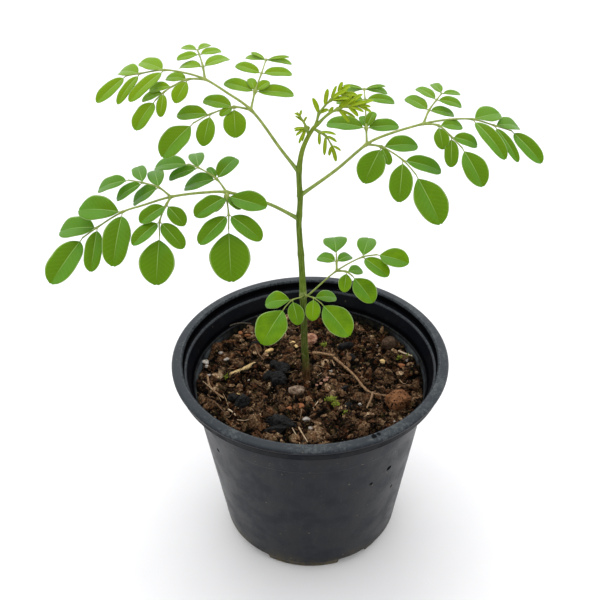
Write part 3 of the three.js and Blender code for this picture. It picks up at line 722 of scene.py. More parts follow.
def stem_look():
    look = Look("stem_bark", specular_ior_level=0.12, subsurface_weight=0.05, subsurface_scale=0.001)
    height, patch = look.axis(2), look.noise(6)
    streak = look.noise(0.9, 4, stretch=(1, 1, 0.18))
    grain = streak.between(0.3, 0.7)
    green = look.mix(grain, (76, 98, 22), (104, 124, 46))
    look.colour = look.mix(height.between(226, 254) * 0.75, green, (128, 146, 46))
    look.coat((height + patch * 24).between(176, 148), look.mix(grain, (58, 72, 16), (92, 100, 48)))
    look.coat((height + patch * 12).between(124, 108), look.mix(grain, (40, 27, 14), (96, 68, 42)))
    ring = abs(height - RING_HEIGHT).between(3.2, 1) * look.noise(1.6).between(0.35, 0.55)
    look.coat(ring * 0.7, (150, 162, 96))
    lenticel = look.cells(2.6).between(0.16, 0.08)
    look.coat(lenticel * 0.4, (120, 106, 76))
    bloom = look.noise(2.2, 4, 0.65).between(0.6, 0.72) * height.between(176, 150)
    look.coat(bloom * 0.4, (160, 158, 122))
    return look.wear(roughness=0.55 + patch * 0.2, normal=look.relief(streak * 0.7 + lenticel, 0.15))


def build_stem():
    route = smooth_route(STEM_ROUTE, step=0.8)
    level = route[:, 2]
    radii = 0.5 * np.interp(level, *np.transpose(STEM_WIDTHS))
    for node in LEAF_NODES:
        radii = radii * (1 + 0.16 * np.exp(-((level - node) / 2.4) ** 2))
    radii = radii * (1 + 0.05 * np.exp(-((level - COLLAR_HEIGHT) / 5) ** 2))
    points, faces = bar(route, radii, sides=28)
    form = Form()
    form.add(points + 0.12 * lattice_noise(points, 2.5, 3)[:, None] * (0, 1, 0), faces)
    form.piece("fine_stem", [stem_look()], "stem", "stem")


build_stem()

# %% [markdown]
# ## The pot
# The pot is injection-moulded: one thin wall turned round an axis, so its profile is drawn once and spun.
# Sharp corners never come out of a mould, so each corner of the profile is rounded before spinning. The
# notches in the foot and the drain holes are then cut with a Boolean modifier, whose result is kept as the
# mesh.

# %% Pot profile
# A corner of the profile: its distance from the axis, its height and how far from it the rounding starts.
POT_SIDES = 216
POT_PROFILE = [
  (0, 0, 0), (16.5, 0, 0.4), (20, 4.5, 0.6), (44.5, 4.5, 0.4), (44.9, 0, 0.3), (46.7, 0, 0.5),
  (48.4, 5.2, 0.5), (49.7, 6, 0.6), (62.6, 90.6, 0.3), (63.1, 91, 0.3), (64.9, 102.5, 1), (69.6, 109, 0.6),
  (70, 115, 0.6), (71.6, 115, 0.4), (71.3, 109.6, 0.2), (72.5, 109.5, 0.35), (73.3, 114.7, 0.4),
  (74.8, 115.2, 0.5), (75, 116.5, 0.6), (74, 117.5, 0.6), (70, 118, 0.8), (69, 117.3, 0.5),
  (68.3, 111.7, 0.4), (67.2, 111.2, 0.4), (64.4, 103, 0.5), (63.4, 102, 0.5), (61.6, 91, 1), (48.2, 7.5, 0.6),
  (47.3, 6.5, 0.5), (19.5, 6.5, 0.6), (15.7, 2, 0.5), (0, 2, 0),
]


def rounded(profile, steps=4):
    """The same profile with each corner rounded by an arc."""
    corners = [np.array(row[:2], float) for row in profile]
    points = [corners[0]]
    for before, corner, after, row in zip(corners, corners[1:], corners[2:], profile[1:]):
        near = min(row[2], 0.45 * np.linalg.norm(before - corner), 0.45 * np.linalg.norm(after - corner))
        start = corner + near * unit(before - corner)
        end = corner + near * unit(after - corner)
        for t in np.linspace(0, 1, steps):
            points.append((1 - t) ** 2 * start + 2 * t * (1 - t) * corner + t**2 * end)
    return [*points, corners[-1]]


def spin(profile, sides):
    """A closed body of revolution. The first and last profile points are on the axis."""
    angles = np.arange(sides) * TURN / sides
    ring = np.stack([np.cos(angles), np.sin(angles)], -1)
    rings = [np.column_stack([radius * ring, np.full(sides, level)]) for radius, level in profile[1:-1]]
    points = np.vstack([*rings, [0, 0, profile[0][1]], [0, 0, profile[-1][1]]])
    last = (len(rings) - 1) * sides
    faces = []
    for i in range(sides):
        j = (i + 1) % sides
        faces += [(last + sides, j, i), (last + sides + 1, last + i, last + j)]
        faces += [(k + i, k + j, k + sides + j, k + sides + i) for k in range(0, last, sides)]
    return points, faces


pot_points = rounded(POT_PROFILE)
print("the pot's profile has", len(pot_points), "points")

# %% [markdown]
# ## Pot plastic
# Black nursery plastic is never quite black: it is a dark grey with a soft sheen, finely scratched, dusted
# with dried soil near the foot and scuffed paler along the lip. Each of those is a mask made from noise and
# height, and the masks blend a few greys and dusts. Light and shade are painted in too: a paler blue grey on
# the top of the lip and pale lines on its inner edge and on the inner ledges are painted highlights, a pale
# band low on each side of the inner wall is a painted reflection, and a dull black cover is painted shade
# under the lip and its bead and on the inner wall. A few dark marks and specks break the surface.

# %% Pot plastic
# A dark mark on the wall or the lip: its middle and its radius.
SCUFFS = [((41.3, -43.7, 74.8), 1.7), ((31.5, -50.4, 69.8), 1.2), ((43.8, -36.4, 53.5), 1.2),
          ((-50, -35.4, 81.5), 1.4), ((30.8, -64.5, 118), 1.6), ((33.2, -63, 118), 1.2)]


def pot_look():
    look = Look("nursery_plastic", specular_ior_level=0.2)
    height, aside = look.axis(2), abs(look.axis(0))
    radius = look.vector("DISTANCE", look.vector("MULTIPLY", look.place, (1, 1, 0)), (0, 0, 0), 1)
    cloud = look.noise(14, 5, 0.6)
    scratch = look.noise(1.1, 5, 0.7, (1, 1, 0.25))
    smear = look.noise(5, 6, 0.65, (1, 1, 0.12))
    smudge = look.noise(3.5, 6, 0.75).between(0.56, 0.76)
    look.colour = look.mix(cloud.between(0.3, 0.75), (4, 6, 12), (14, 20, 31))
    look.coat(smear.between(0.5, 0.74) * 0.12, (64, 68, 72))
    look.coat(smudge * 0.4, (92, 86, 70))
    look.coat(scratch.between(0.55, 0.8) * 0.3, (64, 68, 74))
    foot_dust = (height + cloud * 14).between(20, 6) * scratch.between(0.35, 0.6)
    look.coat(foot_dust * 0.85, (98, 88, 60))
    inner_wall = (radius - (height - 91) * 0.16).between(62.8, 62.2) * height.between(90, 92)
    damp = inner_wall * (height - cloud * 16).between(98, 90) * scratch.between(0.35, 0.6)
    look.coat(damp * 0.7, look.mix(look.noise(3).between(0.4, 0.6), (40, 30, 20), (56, 58, 34)))
    lip_scuff = height.between(115.6, 117) * (look.noise(1.6, 5, 0.7) + cloud).between(0.98, 1.25)
    # Painted highlight: the top of the lip is painted a paler blue grey.
    look.coat(height.between(116.4, 117.3) * 0.7, (46, 53, 60))
    look.coat(lip_scuff * 0.36, (108, 113, 112))
    # Painted highlight: a pale line along the inner edge of the lip top, broken by the scratch noise.
    bead_edge_highlight = abs(radius - 69.6).between(1, 0.3) * height.between(116.5, 117.2) * scratch.between(0.4, 0.6)
    look.coat(bead_edge_highlight * 0.4, (116, 124, 130))
    speck = look.cells(5).between(0.14, 0.07) * look.noise(3).between(0.46, 0.6)
    look.coat(speck * 0.5, (112, 104, 84))
    # Painted highlight: pale lines along the two inner ledges, which are also kept free of the painted shade
    # below.
    ledge_highlight = (abs(radius - 67.8).between(0.9, 0.5) * abs(height - 111.4).between(0.7, 0.5)
             + abs(radius - 63.9).between(0.8, 0.4) * abs(height - 102.5).between(0.9, 0.6) * 0.6)
    look.coat(ledge_highlight * scratch.between(0.3, 0.6) * 0.25, (112, 120, 128))
    # Painted reflection: a pale blue band low on each side of the inner wall, kept free of the painted shade.
    painted_reflection_band = inner_wall * aside.between(44, 56) * height.between(102, 100) * cloud.between(0.3, 0.55)
    look.coat(painted_reflection_band * 0.45, (104, 112, 120))

    # Painted shade, laid as a dull black cover: the shadow under the lip, its bead and its groove, and shade
    # over the inner wall and the lip's inner faces. The same cover also carries a random mottle and the real
    # dark marks of SCUFFS.
    under_lip_shadow = (height.between(101.5, 103.5) * height.between(110.5, 109)
                 * (radius - height * 0.72).between(-11, -9.5))
    under_bead_shadow = height.between(109, 110) * height.between(115.3, 114.8) * radius.between(71.5, 72.3)
    groove_shadow = height.between(112.8, 113.6) * under_bead_shadow
    mottle = cloud.between(0.42, 0.66) * height.between(114, 112)
    upper_inside = (radius - (height - 103) * 0.34).between(65.1, 64.8) * height.between(102, 103)
    lip_inside = radius.between(69.2, 69) * height.between(111.9, 112.4) * height.between(117, 116.4)
    inside = inner_wall - painted_reflection_band * 0.9 - damp * 0.4 + upper_inside + lip_inside
    dark = under_lip_shadow * 0.6 + under_bead_shadow * 0.45 + groove_shadow * 0.4 + mottle * 0.2
    dark = inside * 0.5 - ledge_highlight * 0.3 + dark
    for middle, reach in SCUFFS:
        gap = look.vector("DISTANCE", look.place, middle, 1)
        dark = (gap + scratch * 1.6).between(reach + 1.1, reach + 0.3) * 0.9 + dark
    look.cover(dark, base_color=paint(6, 6, 8), roughness=1, specular_ior_level=0)
    relief = look.noise(0.5, 2) * 0.4 + scratch * 0.6 + speck * 0.8 + smear * 0.3 + smudge * 0.4
    rough = 0.3 + cloud * 0.2 + foot_dust * 0.3 + lip_scuff * 0.15 + damp * 0.4 + smudge * 0.2
    return look.wear(roughness=rough - inner_wall * 0.12, normal=look.relief(relief, 0.06))


# %% Pot
FOOT_CUTS = 5
FIRST_NOTCH_BEARING = -60.5
NOTCH = [(41, y, z) for y, z in ((9.4, 0), (9.1, 4.2), (8.5, 4.9), (-8.5, 4.9), (-9.1, 4.2), (-9.4, 0),
                                 (-9.4, -3), (9.4, -3))]
HOLE = [(32 + 4 * math.cos(a), 4 * math.sin(a), 0) for a in np.arange(24) * math.pi / 12]


def around(degrees, points):
    """Points turned about the pot's axis."""
    turned = Matrix.Rotation(math.radians(degrees), 3, "Z")
    return np.asarray(points, float) @ np.array(turned).T


def cutter(bearing, outline, shift):
    """A block between an outline and the same outline shifted, turned to its bearing."""
    count = len(outline)
    ends = [tuple(reversed(range(count))), tuple(range(count, 2 * count))]
    points = np.vstack([outline, np.add(outline, shift)])
    return put("cutter", new_mesh("cutter", around(bearing, points), wall(count) + ends))


def build_pot():
    form = Form()
    form.add(*spin(pot_points, POT_SIDES))
    pot = form.piece("fine_pot", [pot_look()], "pot_plastic", "pot")
    cutters = []
    for k in range(FOOT_CUTS):
        bearing = FIRST_NOTCH_BEARING + 72 * k
        cutters += [cutter(bearing, NOTCH, (12, 0, 0)), cutter(bearing + 36, HOLE, (0, 0, 12))]
    for tool in cutters:
        cut = pot.modifiers.new("cut", "BOOLEAN")
        cut.object = tool
        cut.operation = "DIFFERENCE"
        cut.solver = "EXACT"
    pot.data = bpy.data.meshes.new_from_object(pot.evaluated_get(bpy.context.evaluated_depsgraph_get()))
    pot.modifiers.clear()
    for tool in cutters:
        bpy.data.objects.remove(tool)
    pot.data.shade_smooth()
    pot.data.set_sharp_from_angle(angle=math.radians(40))
    print("pot with notches and holes:", len(pot.data.polygons), "faces")


build_pot()

# %% [markdown]
# ## What lies on the soil
# The eye finds a few pieces in the soil at once: black charcoal, a mottled pebble, a red porous clay
# pellet, clods, bent twigs and a golden piece of straw. Their places come first, because the heap of crumbs
# has to leave them room. A lump or a chip is its middle, its size along three axes and a turn, and a twig
# is its thickness and a route.

# %% Rows of finds
LUMPS = [
  ("charcoal_lump_middle", "charcoal", (-18, 0, 100.5), (11, 12, 8), 20),
  ("charcoal_lump_left", "charcoal", (-37, -18, 100.2), (11, 8, 7), 65),
  ("charcoal_lump_front", "charcoal", (-17, -33, 99.8), (15, 8, 7), 170),
  ("charcoal_lump_back", "charcoal", (21, 29, 100.2), (10, 6, 6), 15),
  ("stone", "stone", (-7.5, -8, 99.2), (9, 7, 6), 0),
  ("clay_lump", "clay", (47, -19, 100.6), (14, 12, 9), 35),
  ("clod_right", "clod", (46, 31, 100.2), (9, 8, 8), 0),
  ("clod_back", "pink", (1, 37, 98.8), (8, 7, 7), 40),
]
CHIPS = [
  ((-15.5, 8, 101.2), (9, 10, 8), 70), ((-19.5, 12.5, 100.2), (8, 6, 6), 10),
  ((-22.5, 4, 99.4), (7, 8, 6), 120), ((-18, -38.5, 99), (13, 7, 6), 5), ((-11, -36, 98.9), (6, 8, 5), 50),
  ((-42, -13, 99), (7, 6, 5), 30), ((19, -6, 98.6), (5, 4, 4), 30), ((24, 20, 98.8), (6, 4, 4), 110),
  ((-31, 33, 99.2), (8, 5, 5), 20), ((20, -21, 98.9), (7, 5, 4), 60),
]
TWIGS = [
  ("twig_long", "twig", 1.6, [(14, 20, 98.5), (24, 5, 98.7), (32, -10, 98.8), (41, -12, 97.4)]),
  ("twig_short", "twig", 2, [(2, 24, 98.9), (8, 23.4, 98.6), (14, 22.4, 98)]),
  ("twig_left", "twig", 1.4, [(-57, 5, 98.9), (-55, -4, 98.3), (-47, -14, 99)]),
  ("straw", "straw", 1.8, [(-44, 6, 98.8), (-38, 10.6, 98.2), (-31, 15, 98.9)]),
]
TWIG_LIFT = 0.5
# Clods that show in the photograph: a place, a size and a tone.
CLODS = [
  (22, -33, 5.4, 0.5), (28, -30, 3.6, 0.42), (37, -24, 3.8, 0.55), (36, -30, 3, 0.35), (45, 2, 3, 0.55),
  (59, -1, 3.6, 0.5), (30, 8, 3, 0.25), (-30, -8, 4.6, 0.4), (-24, -22, 4, 0.5), (-45, 27, 3.4, 0.3),
  (8, 8, 3, 0.3), (3, -38, 3.6, 0.4), (-33, -25, 3.4, 0.45), (13, -37, 3.4, 0.35), (56, 12, 3, 0.45),
]
# Hollows in the heap: a place, a width and a depth.
HOLLOWS = [(-24, 14, 7, 2.2), (-11, 3, 4, 1.6), (-20, -10, 5, 1.5), (40, -14, 5, 1.4), (-38, -27, 5, 1.4),
           (12, -28, 6, 1.2), (26, 14, 5, 1.2), (-48, 12, 5, 0.9)]
twig_routes = [(width, smooth_route(points, 1.2)) for _, _, width, points in TWIGS]
print(len(LUMPS), "lumps,", len(CHIPS), "chips and", len(TWIGS), "twigs")

# %% [markdown]
# ## The soil
# Potting soil is a heap of crumbs of every size. A flat disc with a bump map never looks like that, so the
# surface is built as a heap: a fine grid over the disc, and some 2,600 random clods, each a tilted flat top
# with steep broken sides, that lift the grid wherever they stand above it. Every clod has its own tone, and
# the gaps between them are painted nearly black as shade. The square grid is bent into a disc so that its
# cells stay equally small.

# %% Soil surface
SOIL_LEVEL = 98
SOIL_RELIEF = 0.84
SOIL_RADIUS = 62.45
SOIL_CELLS = 300
HEAP_CLODS = 2600
CLOD_LIFT = -0.35
BARE_TONE = 0.1
SOIL_SKIRT = [(61.3, 91), (47.9, 7.8), (46.9, 6.8), (19.3, 6.8), (15.5, 2.3)]
random_soil = np.random.default_rng(21)


def soil_height(x, y):
    waves = np.sin(0.31 * x + 1.3) * np.cos(0.27 * y) + 0.6 * np.sin(0.63 * x - 0.41 * y)
    return SOIL_LEVEL + SOIL_RELIEF * (waves + 0.4 * np.cos(0.9 * y + 0.2 * x))


def disc_grid(radius, cells):
    a, b = np.meshgrid(np.linspace(-1, 1, cells), np.linspace(-1, 1, cells), indexing="ij")
    wide = abs(a) > abs(b)
    reach = np.where(wide, a, b)
    safe = np.where(reach == 0, 1, reach)
    angle = np.where(wide, math.pi / 4 * b / safe, math.pi / 2 - math.pi / 4 * a / safe)
    return radius * reach * np.cos(angle), radius * reach * np.sin(angle)


def clod_top(dx, dy, size):
    """Heights of one clod above its foot: a tilted flat top, cut off by six steep sides."""
    bearing = random_soil.uniform(0, 1) + np.arange(6) * math.pi / 3 + random_soil.normal(0, 0.22, 6)
    reach = size * random_soil.uniform(0.55, 1.05, 6)
    slope = random_soil.uniform(0.7, 2.4, 6)
    outward = np.outer(np.cos(bearing), dx) + np.outer(np.sin(bearing), dy)
    walls = ((reach[:, None] - outward) * slope[:, None]).min(axis=0)
    lean = random_soil.normal(0, 0.22, 2)
    return np.minimum(walls, 0.55 * size + lean[0] * dx + lean[1] * dy)


def heap(x, y):
    """Heights of a heap of clods over the points, and the tone of the clod on top."""
    spots = np.column_stack([x, y, 0 * x])
    ground = soil_height(x, y)
    for hx, hy, wide, deep in HOLLOWS:
        ground = ground - deep * np.exp(-((x - hx) ** 2 + (y - hy) ** 2) / (0.5 * wide) ** 2 / 2)
    height = ground - 1.5 + 0.5 * lattice_noise(spots, 2.2, 1)
    tone = np.full(len(x), BARE_TONE)
    rough = lattice_noise(spots, 1.3, 5) + 0.7 * lattice_noise(spots, 0.7, 6)
    sizes = np.sort(np.clip(random_soil.lognormal(0.35, 0.55, HEAP_CLODS), 0.55, 4.6))[::-1]
    spread = np.sqrt(random_soil.uniform(size=HEAP_CLODS)) * (SOIL_RADIUS - 1)
    bearing = random_soil.uniform(0, TURN, HEAP_CLODS)
    rows = [(r * math.cos(b), r * math.sin(b), s, random_soil.beta(1, 1.7), random_soil.uniform(-0.9, 0.25))
            for r, b, s in zip(spread, bearing, sizes)]
    for cx, cy, size, own_tone, lift in [(*clod, CLOD_LIFT) for clod in CLODS] + rows:
        near = np.flatnonzero((abs(x - cx) < 1.6 * size) & (abs(y - cy) < 1.6 * size))
        if not len(near):
            continue
        top = clod_top(x[near] - cx, y[near] - cy, size)
        top = top + ground[near[len(near) // 2]] + lift * size + 0.16 * size**0.5 * rough[near]
        rises = top > height[near]
        height[near[rises]] = top[rises]
        tone[near[rises]] = own_tone
    for _, _, (cx, cy, cz), size, _ in LUMPS:
        gap = np.hypot(x - cx, y - cy) / (0.25 * (size[0] + size[1]))
        height = np.where(gap < 1.15, np.minimum(height, cz - 1 + 2.5 * np.clip(gap - 0.7, 0, 1)), height)
    for width, route in twig_routes:
        for px, py, pz in route:
            near = np.hypot(x - px, y - py) < 0.8 * width
            height[near] = np.minimum(height[near], pz + TWIG_LIFT - 0.1 * width)
    return height + 0.12 * rough, tone


def build_soil():
    x, y = (grid.ravel() for grid in disc_grid(SOIL_RADIUS, SOIL_CELLS))
    height, tone = heap(x, y)
    index = np.arange(SOIL_CELLS**2).reshape(SOIL_CELLS, SOIL_CELLS)
    faces = [(index[k, j], index[k + 1, j], index[k + 1, j + 1], index[k, j + 1])
             for k in range(SOIL_CELLS - 1) for j in range(SOIL_CELLS - 1)]
    edge = np.concatenate([index[:-1, 0], index[-1, :-1], index[:0:-1, -1], index[0, :0:-1]])
    bearing = np.arctan2(y[edge], x[edge])
    points, count = [np.column_stack([x, y, height])], len(x)
    above = edge
    for radius, level in SOIL_SKIRT:
        ring = count + np.arange(len(edge))
        points.append(np.column_stack([radius * np.cos(bearing), radius * np.sin(bearing),
                                       np.full(len(edge), level)]))
        faces.extend((above[i], ring[i], ring[(i + 1) % len(edge)], above[(i + 1) % len(edge)])
                     for i in range(len(edge)))
        count += len(edge)
        above = ring
    faces.append(tuple(above[::-1]))
    form = Form()
    below = len(edge) * len(SOIL_SKIRT)
    form.add(np.vstack(points), faces, tone=np.pad(tone, (0, below), constant_values=BARE_TONE),
             rise=np.pad(height - soil_height(x, y), (0, below)))
    return form, np.column_stack([x, y, height])


# %% [markdown]
# The soil's colour runs from nearly black through red and yellow browns to the pale tan of dry bark. The
# tone of each clod and a fine grain choose the place on that ramp, and the deep gaps are painted nearly
# black as shade. Damp crumbs also shine a little, so the roughness drops where the grain is dark.

# %% Soil look
SOIL_STOPS = [(0.02, (3, 2, 1)), (0.2, (32, 21, 13)), (0.42, (84, 61, 43)), (0.74, (128, 100, 74)),
              (0.98, (204, 176, 142))]


def soil_look(name):
    look = Look(name, specular_ior_level=0.05)
    grain, patch, hue = look.noise(1.2, 5, 0.68), look.noise(9, 2), look.noise(4)
    share = look.value("tone") * 0.85 + (grain - 0.5) * 2.1 + (patch - 0.5) * 0.6 - 0.03
    look.colour = look.ramp(share, SOIL_STOPS)
    look.coat(hue.between(0.56, 0.72) * 0.4, (72, 66, 30))
    look.coat(hue.between(0.46, 0.34) * 0.4, (104, 60, 32))
    # Painted shade: where the heap lies below its level, in the deep gaps between clods, it is painted nearly
    # black.
    look.coat(look.value("rise").between(0.25, -1.0) * 0.95, (4, 3, 2))
    fleck = look.cells(1.7).between(0.22, 0.1) * grain.between(0.45, 0.6)
    look.coat(fleck * 0.7, (190, 156, 116))
    return look.wear(roughness=0.34 + grain * 0.7, normal=look.relief(grain, 0.9))


soil_form, soil_top = build_soil()
soil_form.piece("fine_soil", [soil_look("potting_soil")], "soil", "soil")


def settle(x, y, reach=1.0):
    """The height of the heap at a place: the highest point within a short way."""
    gap = (soil_top[:, 0] - x) ** 2 + (soil_top[:, 1] - y) ** 2
    return soil_top[gap < max(reach, 0.5) ** 2, 2].max()


print("the heap is", round(settle(0, -30) - SOIL_LEVEL, 1), "mm above the level in front of the stem")

# %% [markdown]
# ## Crumbs, chips and fibres
# On top of the heap lie loose crumbs and bark chips that cast small shadows of their own. Each is a ball
# cut by random planes, as broken soil is, with its own size, stretch and tone, set down on the heap away
# from the larger finds. All of them are one mesh. Thin rootlets and slivers that follow the heap's bumps
# are short bars.

# %% Loose crumbs
LOOSE_CRUMBS = 850
BARK_CHIPS = 320


def ball(detail):
    mesh = bmesh.new()
    bmesh.ops.create_icosphere(mesh, subdivisions=detail, radius=1)
    points = np.array([v.co[:] for v in mesh.verts])
    faces = [tuple(v.index for v in face.verts) for face in mesh.faces]
    mesh.free()
    return points, faces


CRUMB_BALL = ball(2)


def broken(points, random, planes, nearest=0.55):
    """The ball's points drawn in to random planes, which leaves flat broken faces."""
    reach = np.ones(len(points))
    for _ in range(planes):
        facing = points @ unit(random.normal(size=3))
        reach = np.minimum(reach, random.uniform(nearest, 1) / np.maximum(facing, 0.05))
    return points * reach[:, None]


def free_place(margin=2.0):
    """A random place where a loose piece hides none of the larger finds and not the stem."""
    while True:
        spread = math.sqrt(random_soil.uniform()) * (SOIL_RADIUS - margin)
        bearing = random_soil.uniform(0, TURN)
        x, y = spread * math.cos(bearing), spread * math.sin(bearing)
        lumps = all(math.hypot(x - c[0], y - c[1]) > 0.3 * (s[0] + s[1]) for _, _, c, s, _ in LUMPS)
        twigs = all(np.hypot(route[:, 0] - x, route[:, 1] - y).min() > 2.2 for _, route in twig_routes)
        if lumps and twigs and math.hypot(x + 2, y - 2.5) > 3.5:
            return x, y


def add_crumb(form, place, stretch, tone, lift=0.12):
    points, faces = CRUMB_BALL
    shape = broken(points, random_soil, 7)
    shape = shape * (1 + 0.12 * lattice_noise(points * 3, 2.2, int(random_soil.integers(1, 99))))[:, None]
    turns = [random_soil.normal(0, 0.4), random_soil.normal(0, 0.3), random_soil.uniform(0, 6.28)]
    first, second, third = (Matrix.Rotation(turn, 3, axis) for turn, axis in zip(turns, "XYZ"))
    tilt = first @ second @ third
    shape = shape * stretch / 2 @ np.array(tilt).T
    height = settle(*place, 0.3 * stretch[0]) + lift * stretch[2]
    form.add(shape + (*place, height), faces, tone=tone, rise=0.3)


def build_crumbs():
    form, draw = Form(), random_soil.uniform
    for _ in range(LOOSE_CRUMBS):
        size = float(np.clip(random_soil.lognormal(0.05, 0.55), 0.6, 4))
        stretch = size * np.array([draw(0.8, 1.3), draw(0.6, 1), 0.75])
        add_crumb(form, free_place(), stretch, random_soil.beta(1.3, 1.8))
    for _ in range(BARK_CHIPS):
        size = draw(2, 6)
        stretch = size * np.array([1, draw(0.3, 0.8), draw(0.15, 0.3)])
        add_crumb(form, free_place(4), stretch, random_soil.beta(1.2, 2.2), 0.5)
    form.piece("soil_crumbs", [soil_look("loose_crumbs")], "soil", crease=30)


build_crumbs()


# %% Fibres
# A fibre that shows in the photograph: its width, its tone and its points seen from above.
NAMED_FIBRES = [
  (1, 0.85, [(-6.5, -37.5), (-4.5, -43), (-2, -50)]), (0.7, 0.9, [(-11, -35.5), (-9.5, -39.5), (-8, -43.5)]),
  (0.5, 0.85, [(-59, -1), (-55, -5), (-51, -10), (-48.5, -15)]),
  (0.4, 0.75, [(-49, -7), (-46, -14), (-43.5, -23)]),
  (1.2, 0.95, [(-44, -23), (-41.5, -26), (-40, -28.5)]), (0.5, 0.9, [(-39, -31), (-35, -33.5), (-31, -34.5)]),
  (0.5, 0.6, [(-51, 13.5), (-47, 12), (-42, 10.5)]), (0.5, 0.65, [(0.5, 14.5), (4, 13.5), (8, 10.5)]),
  (0.7, 0.7, [(12.6, 17), (14, 12), (15.7, 7)]), (1.5, 0.6, [(33.8, -12.5), (32.6, -17), (30, -23.5)]),
  (0.6, 0.95, [(4, -17), (3, -19), (1.2, -22.5)]), (1.1, 0.95, [(51, 25), (55, 22), (58, 19.6)]),
  (0.5, 0.8, [(49.5, 1.5), (51, -1.5), (52.5, -4)]), (0.4, 0.55, [(18, -7), (24, -5), (29, -2)]),
  (0.8, 0.45, [(-31, 30), (-29, 24), (-26, 19)]), (0.7, 0.5, [(-56, -10), (-50, -19), (-45, -27)]),
]
RANDOM_FIBRES = 90


def fibre_look():
    look = Look("dry_fibre", roughness=0.7)
    look.colour = look.ramp(look.value("tone") + look.noise(2) * 0.3 - 0.15, [
        (0, (50, 36, 24)), (0.5, (112, 82, 54)), (0.8, (170, 140, 104)), (1, (206, 186, 158))])
    return look.wear(normal=look.relief(look.noise(0.4), 0.05))


def add_fibre(form, points, width, tone):
    """A thin bar that follows the bumps of the heap loosely."""
    heights = np.array([settle(x, y, 1.2) for x, y in points])
    smooth = np.convolve(np.pad(heights, 1, mode="edge"), [0.25, 0.5, 0.25], mode="valid")
    levels = np.maximum(smooth, heights - 0.3) + 0.35 * width
    route = smooth_route(np.column_stack([np.array(points), levels]), step=0.8)
    form.add(*bar(route, 0.5 * width * (1 - 0.4 * np.linspace(0, 1, len(route))), sides=6), tone=tone)


def build_fibres():
    form, draw = Form(), random_soil.uniform
    for width, tone, points in NAMED_FIBRES:
        add_fibre(form, points, width, tone)
    for _ in range(RANDOM_FIBRES):
        x, y = free_place(7)
        heading, bend = draw(0, 6.28), random_soil.normal(0, 0.2)
        step, points = draw(0.6, 1.6), [(x, y)]
        for _ in range(4):
            x, y = x + step * math.cos(heading), y + step * math.sin(heading)
            heading += bend
            if math.hypot(x, y) < SOIL_RADIUS - 1:
                points.append((x, y))
        if len(points) > 2:
            add_fibre(form, points, draw(0.15, 0.4), random_soil.beta(1.5, 2))
    form.piece("soil_fibres", [fibre_look()], "straw")


build_fibres()

# %% [markdown]
# ## Charcoal, stone, clay and clods
# Each lump starts as the same fine ball as its solid. Charcoal and stone are cut by random planes, because
# they break along flats, then roughened, and the clay is pitted where a noise is low. A few smaller chips
# of charcoal lie around the large ones, half sunk in the soil.

# %% Lumps
LUMP_BALL = ball(5)
CHIP_BALL = ball(4)
random_lump = np.random.default_rng(5)


def lump_look(name, stops, size, gloss=0.8, depth=0.3, pits=0.0, grain=1.0, shine=0.1):
    look = Look(name, specular_ior_level=shine)
    broad, fine = (look.noise(*row, stretch=(1, grain, 1)) for row in ((size, 4), (size / 6, 3)))
    pit = look.cells(1.5).between(0.4, 0.26) * look.noise(1.5).between(0.38, 0.5) * pits
    look.colour = look.ramp(broad * 0.9 + fine * 0.6 - 0.25, stops)
    # Painted shade: the pits are painted dark brown, as the shade inside their hollows.
    look.coat(pit, (22, 14, 10))
    relief = look.relief(broad + fine * 0.6 - pit * 1.5, depth)
    return look.wear(roughness=gloss - 0.2 + broad * 0.4, normal=relief)


LUMP_LOOKS = {
  # The pale grey top stop of the charcoal's ramp paints speckled highlights on the black.
  "charcoal": lump_look("charcoal", [(0.3, (2, 2, 2)), (0.55, (12, 12, 13)), (0.8, (62, 60, 60))],
                        2.4, 0.5, 1.3, 0.0, 2.5, 0.25),
  "stone": lump_look("mottled_stone", [(0.3, (44, 32, 24)), (0.46, (116, 94, 76)), (0.64, (182, 160, 140)),
                                       (0.85, (220, 206, 190))], 1.8, 0.7, 0.9),
  "clay": lump_look("porous_clay", [(0.2, (64, 40, 24)), (0.5, (118, 78, 50)), (0.9, (160, 118, 84))],
                    4, 0.85, 0.5, 1.0),
  "clod": lump_look("brown_clod", [(0.2, (34, 26, 20)), (0.5, (74, 58, 46)), (0.9, (122, 100, 82))],
                    3, 0.9, 0.8, 0.4),
  "pink": lump_look("pink_clod", [(0.2, (92, 54, 38)), (0.5, (172, 122, 98)), (0.85, (222, 188, 164))],
                    2.6, 0.85, 0.6, 0.4),
}


def lump_points(points, kind, centre, size, turn):
    seed = int(abs(centre[0] * 3 + centre[1])) + 1
    if kind in ("charcoal", "stone"):
        nearest, ridge = (0.62, 0.26) if kind == "charcoal" else (0.74, 0.1)
        points = broken(points, random_lump, 14, nearest)
        ridges = abs(lattice_noise(points, 0.34, seed)) + 0.6 * abs(lattice_noise(points, 0.16, seed + 1))
        scale = 1.08 - ridge * ridges
    elif kind == "clay":
        square = points / np.maximum(abs(points).max(axis=1, keepdims=True), 0.01)
        points = 0.42 * points + 0.5 * square
        scale = 1 - 0.1 * np.clip(lattice_noise(points, 0.2, 3), 0, 1)
    else:
        scale = 1 + 0.1 * (lattice_noise(points, 0.5, seed) + 0.7 * lattice_noise(points, 0.2, seed))
    return around(turn, points * scale[:, None] * np.array(size) / 2) + centre


for name, kind, centre, size, turn in LUMPS:
    form = Form()
    form.add(lump_points(LUMP_BALL[0], kind, centre, size, turn), LUMP_BALL[1])
    form.piece("fine_" + name, [LUMP_LOOKS[kind]], "clod" if kind == "pink" else kind, name, 50)
chips = Form()
for centre, size, turn in CHIPS:
    chips.add(lump_points(CHIP_BALL[0], "charcoal", centre, size, turn), CHIP_BALL[1])
chips.piece("charcoal_chips", [LUMP_LOOKS["charcoal"]], "charcoal", crease=40)

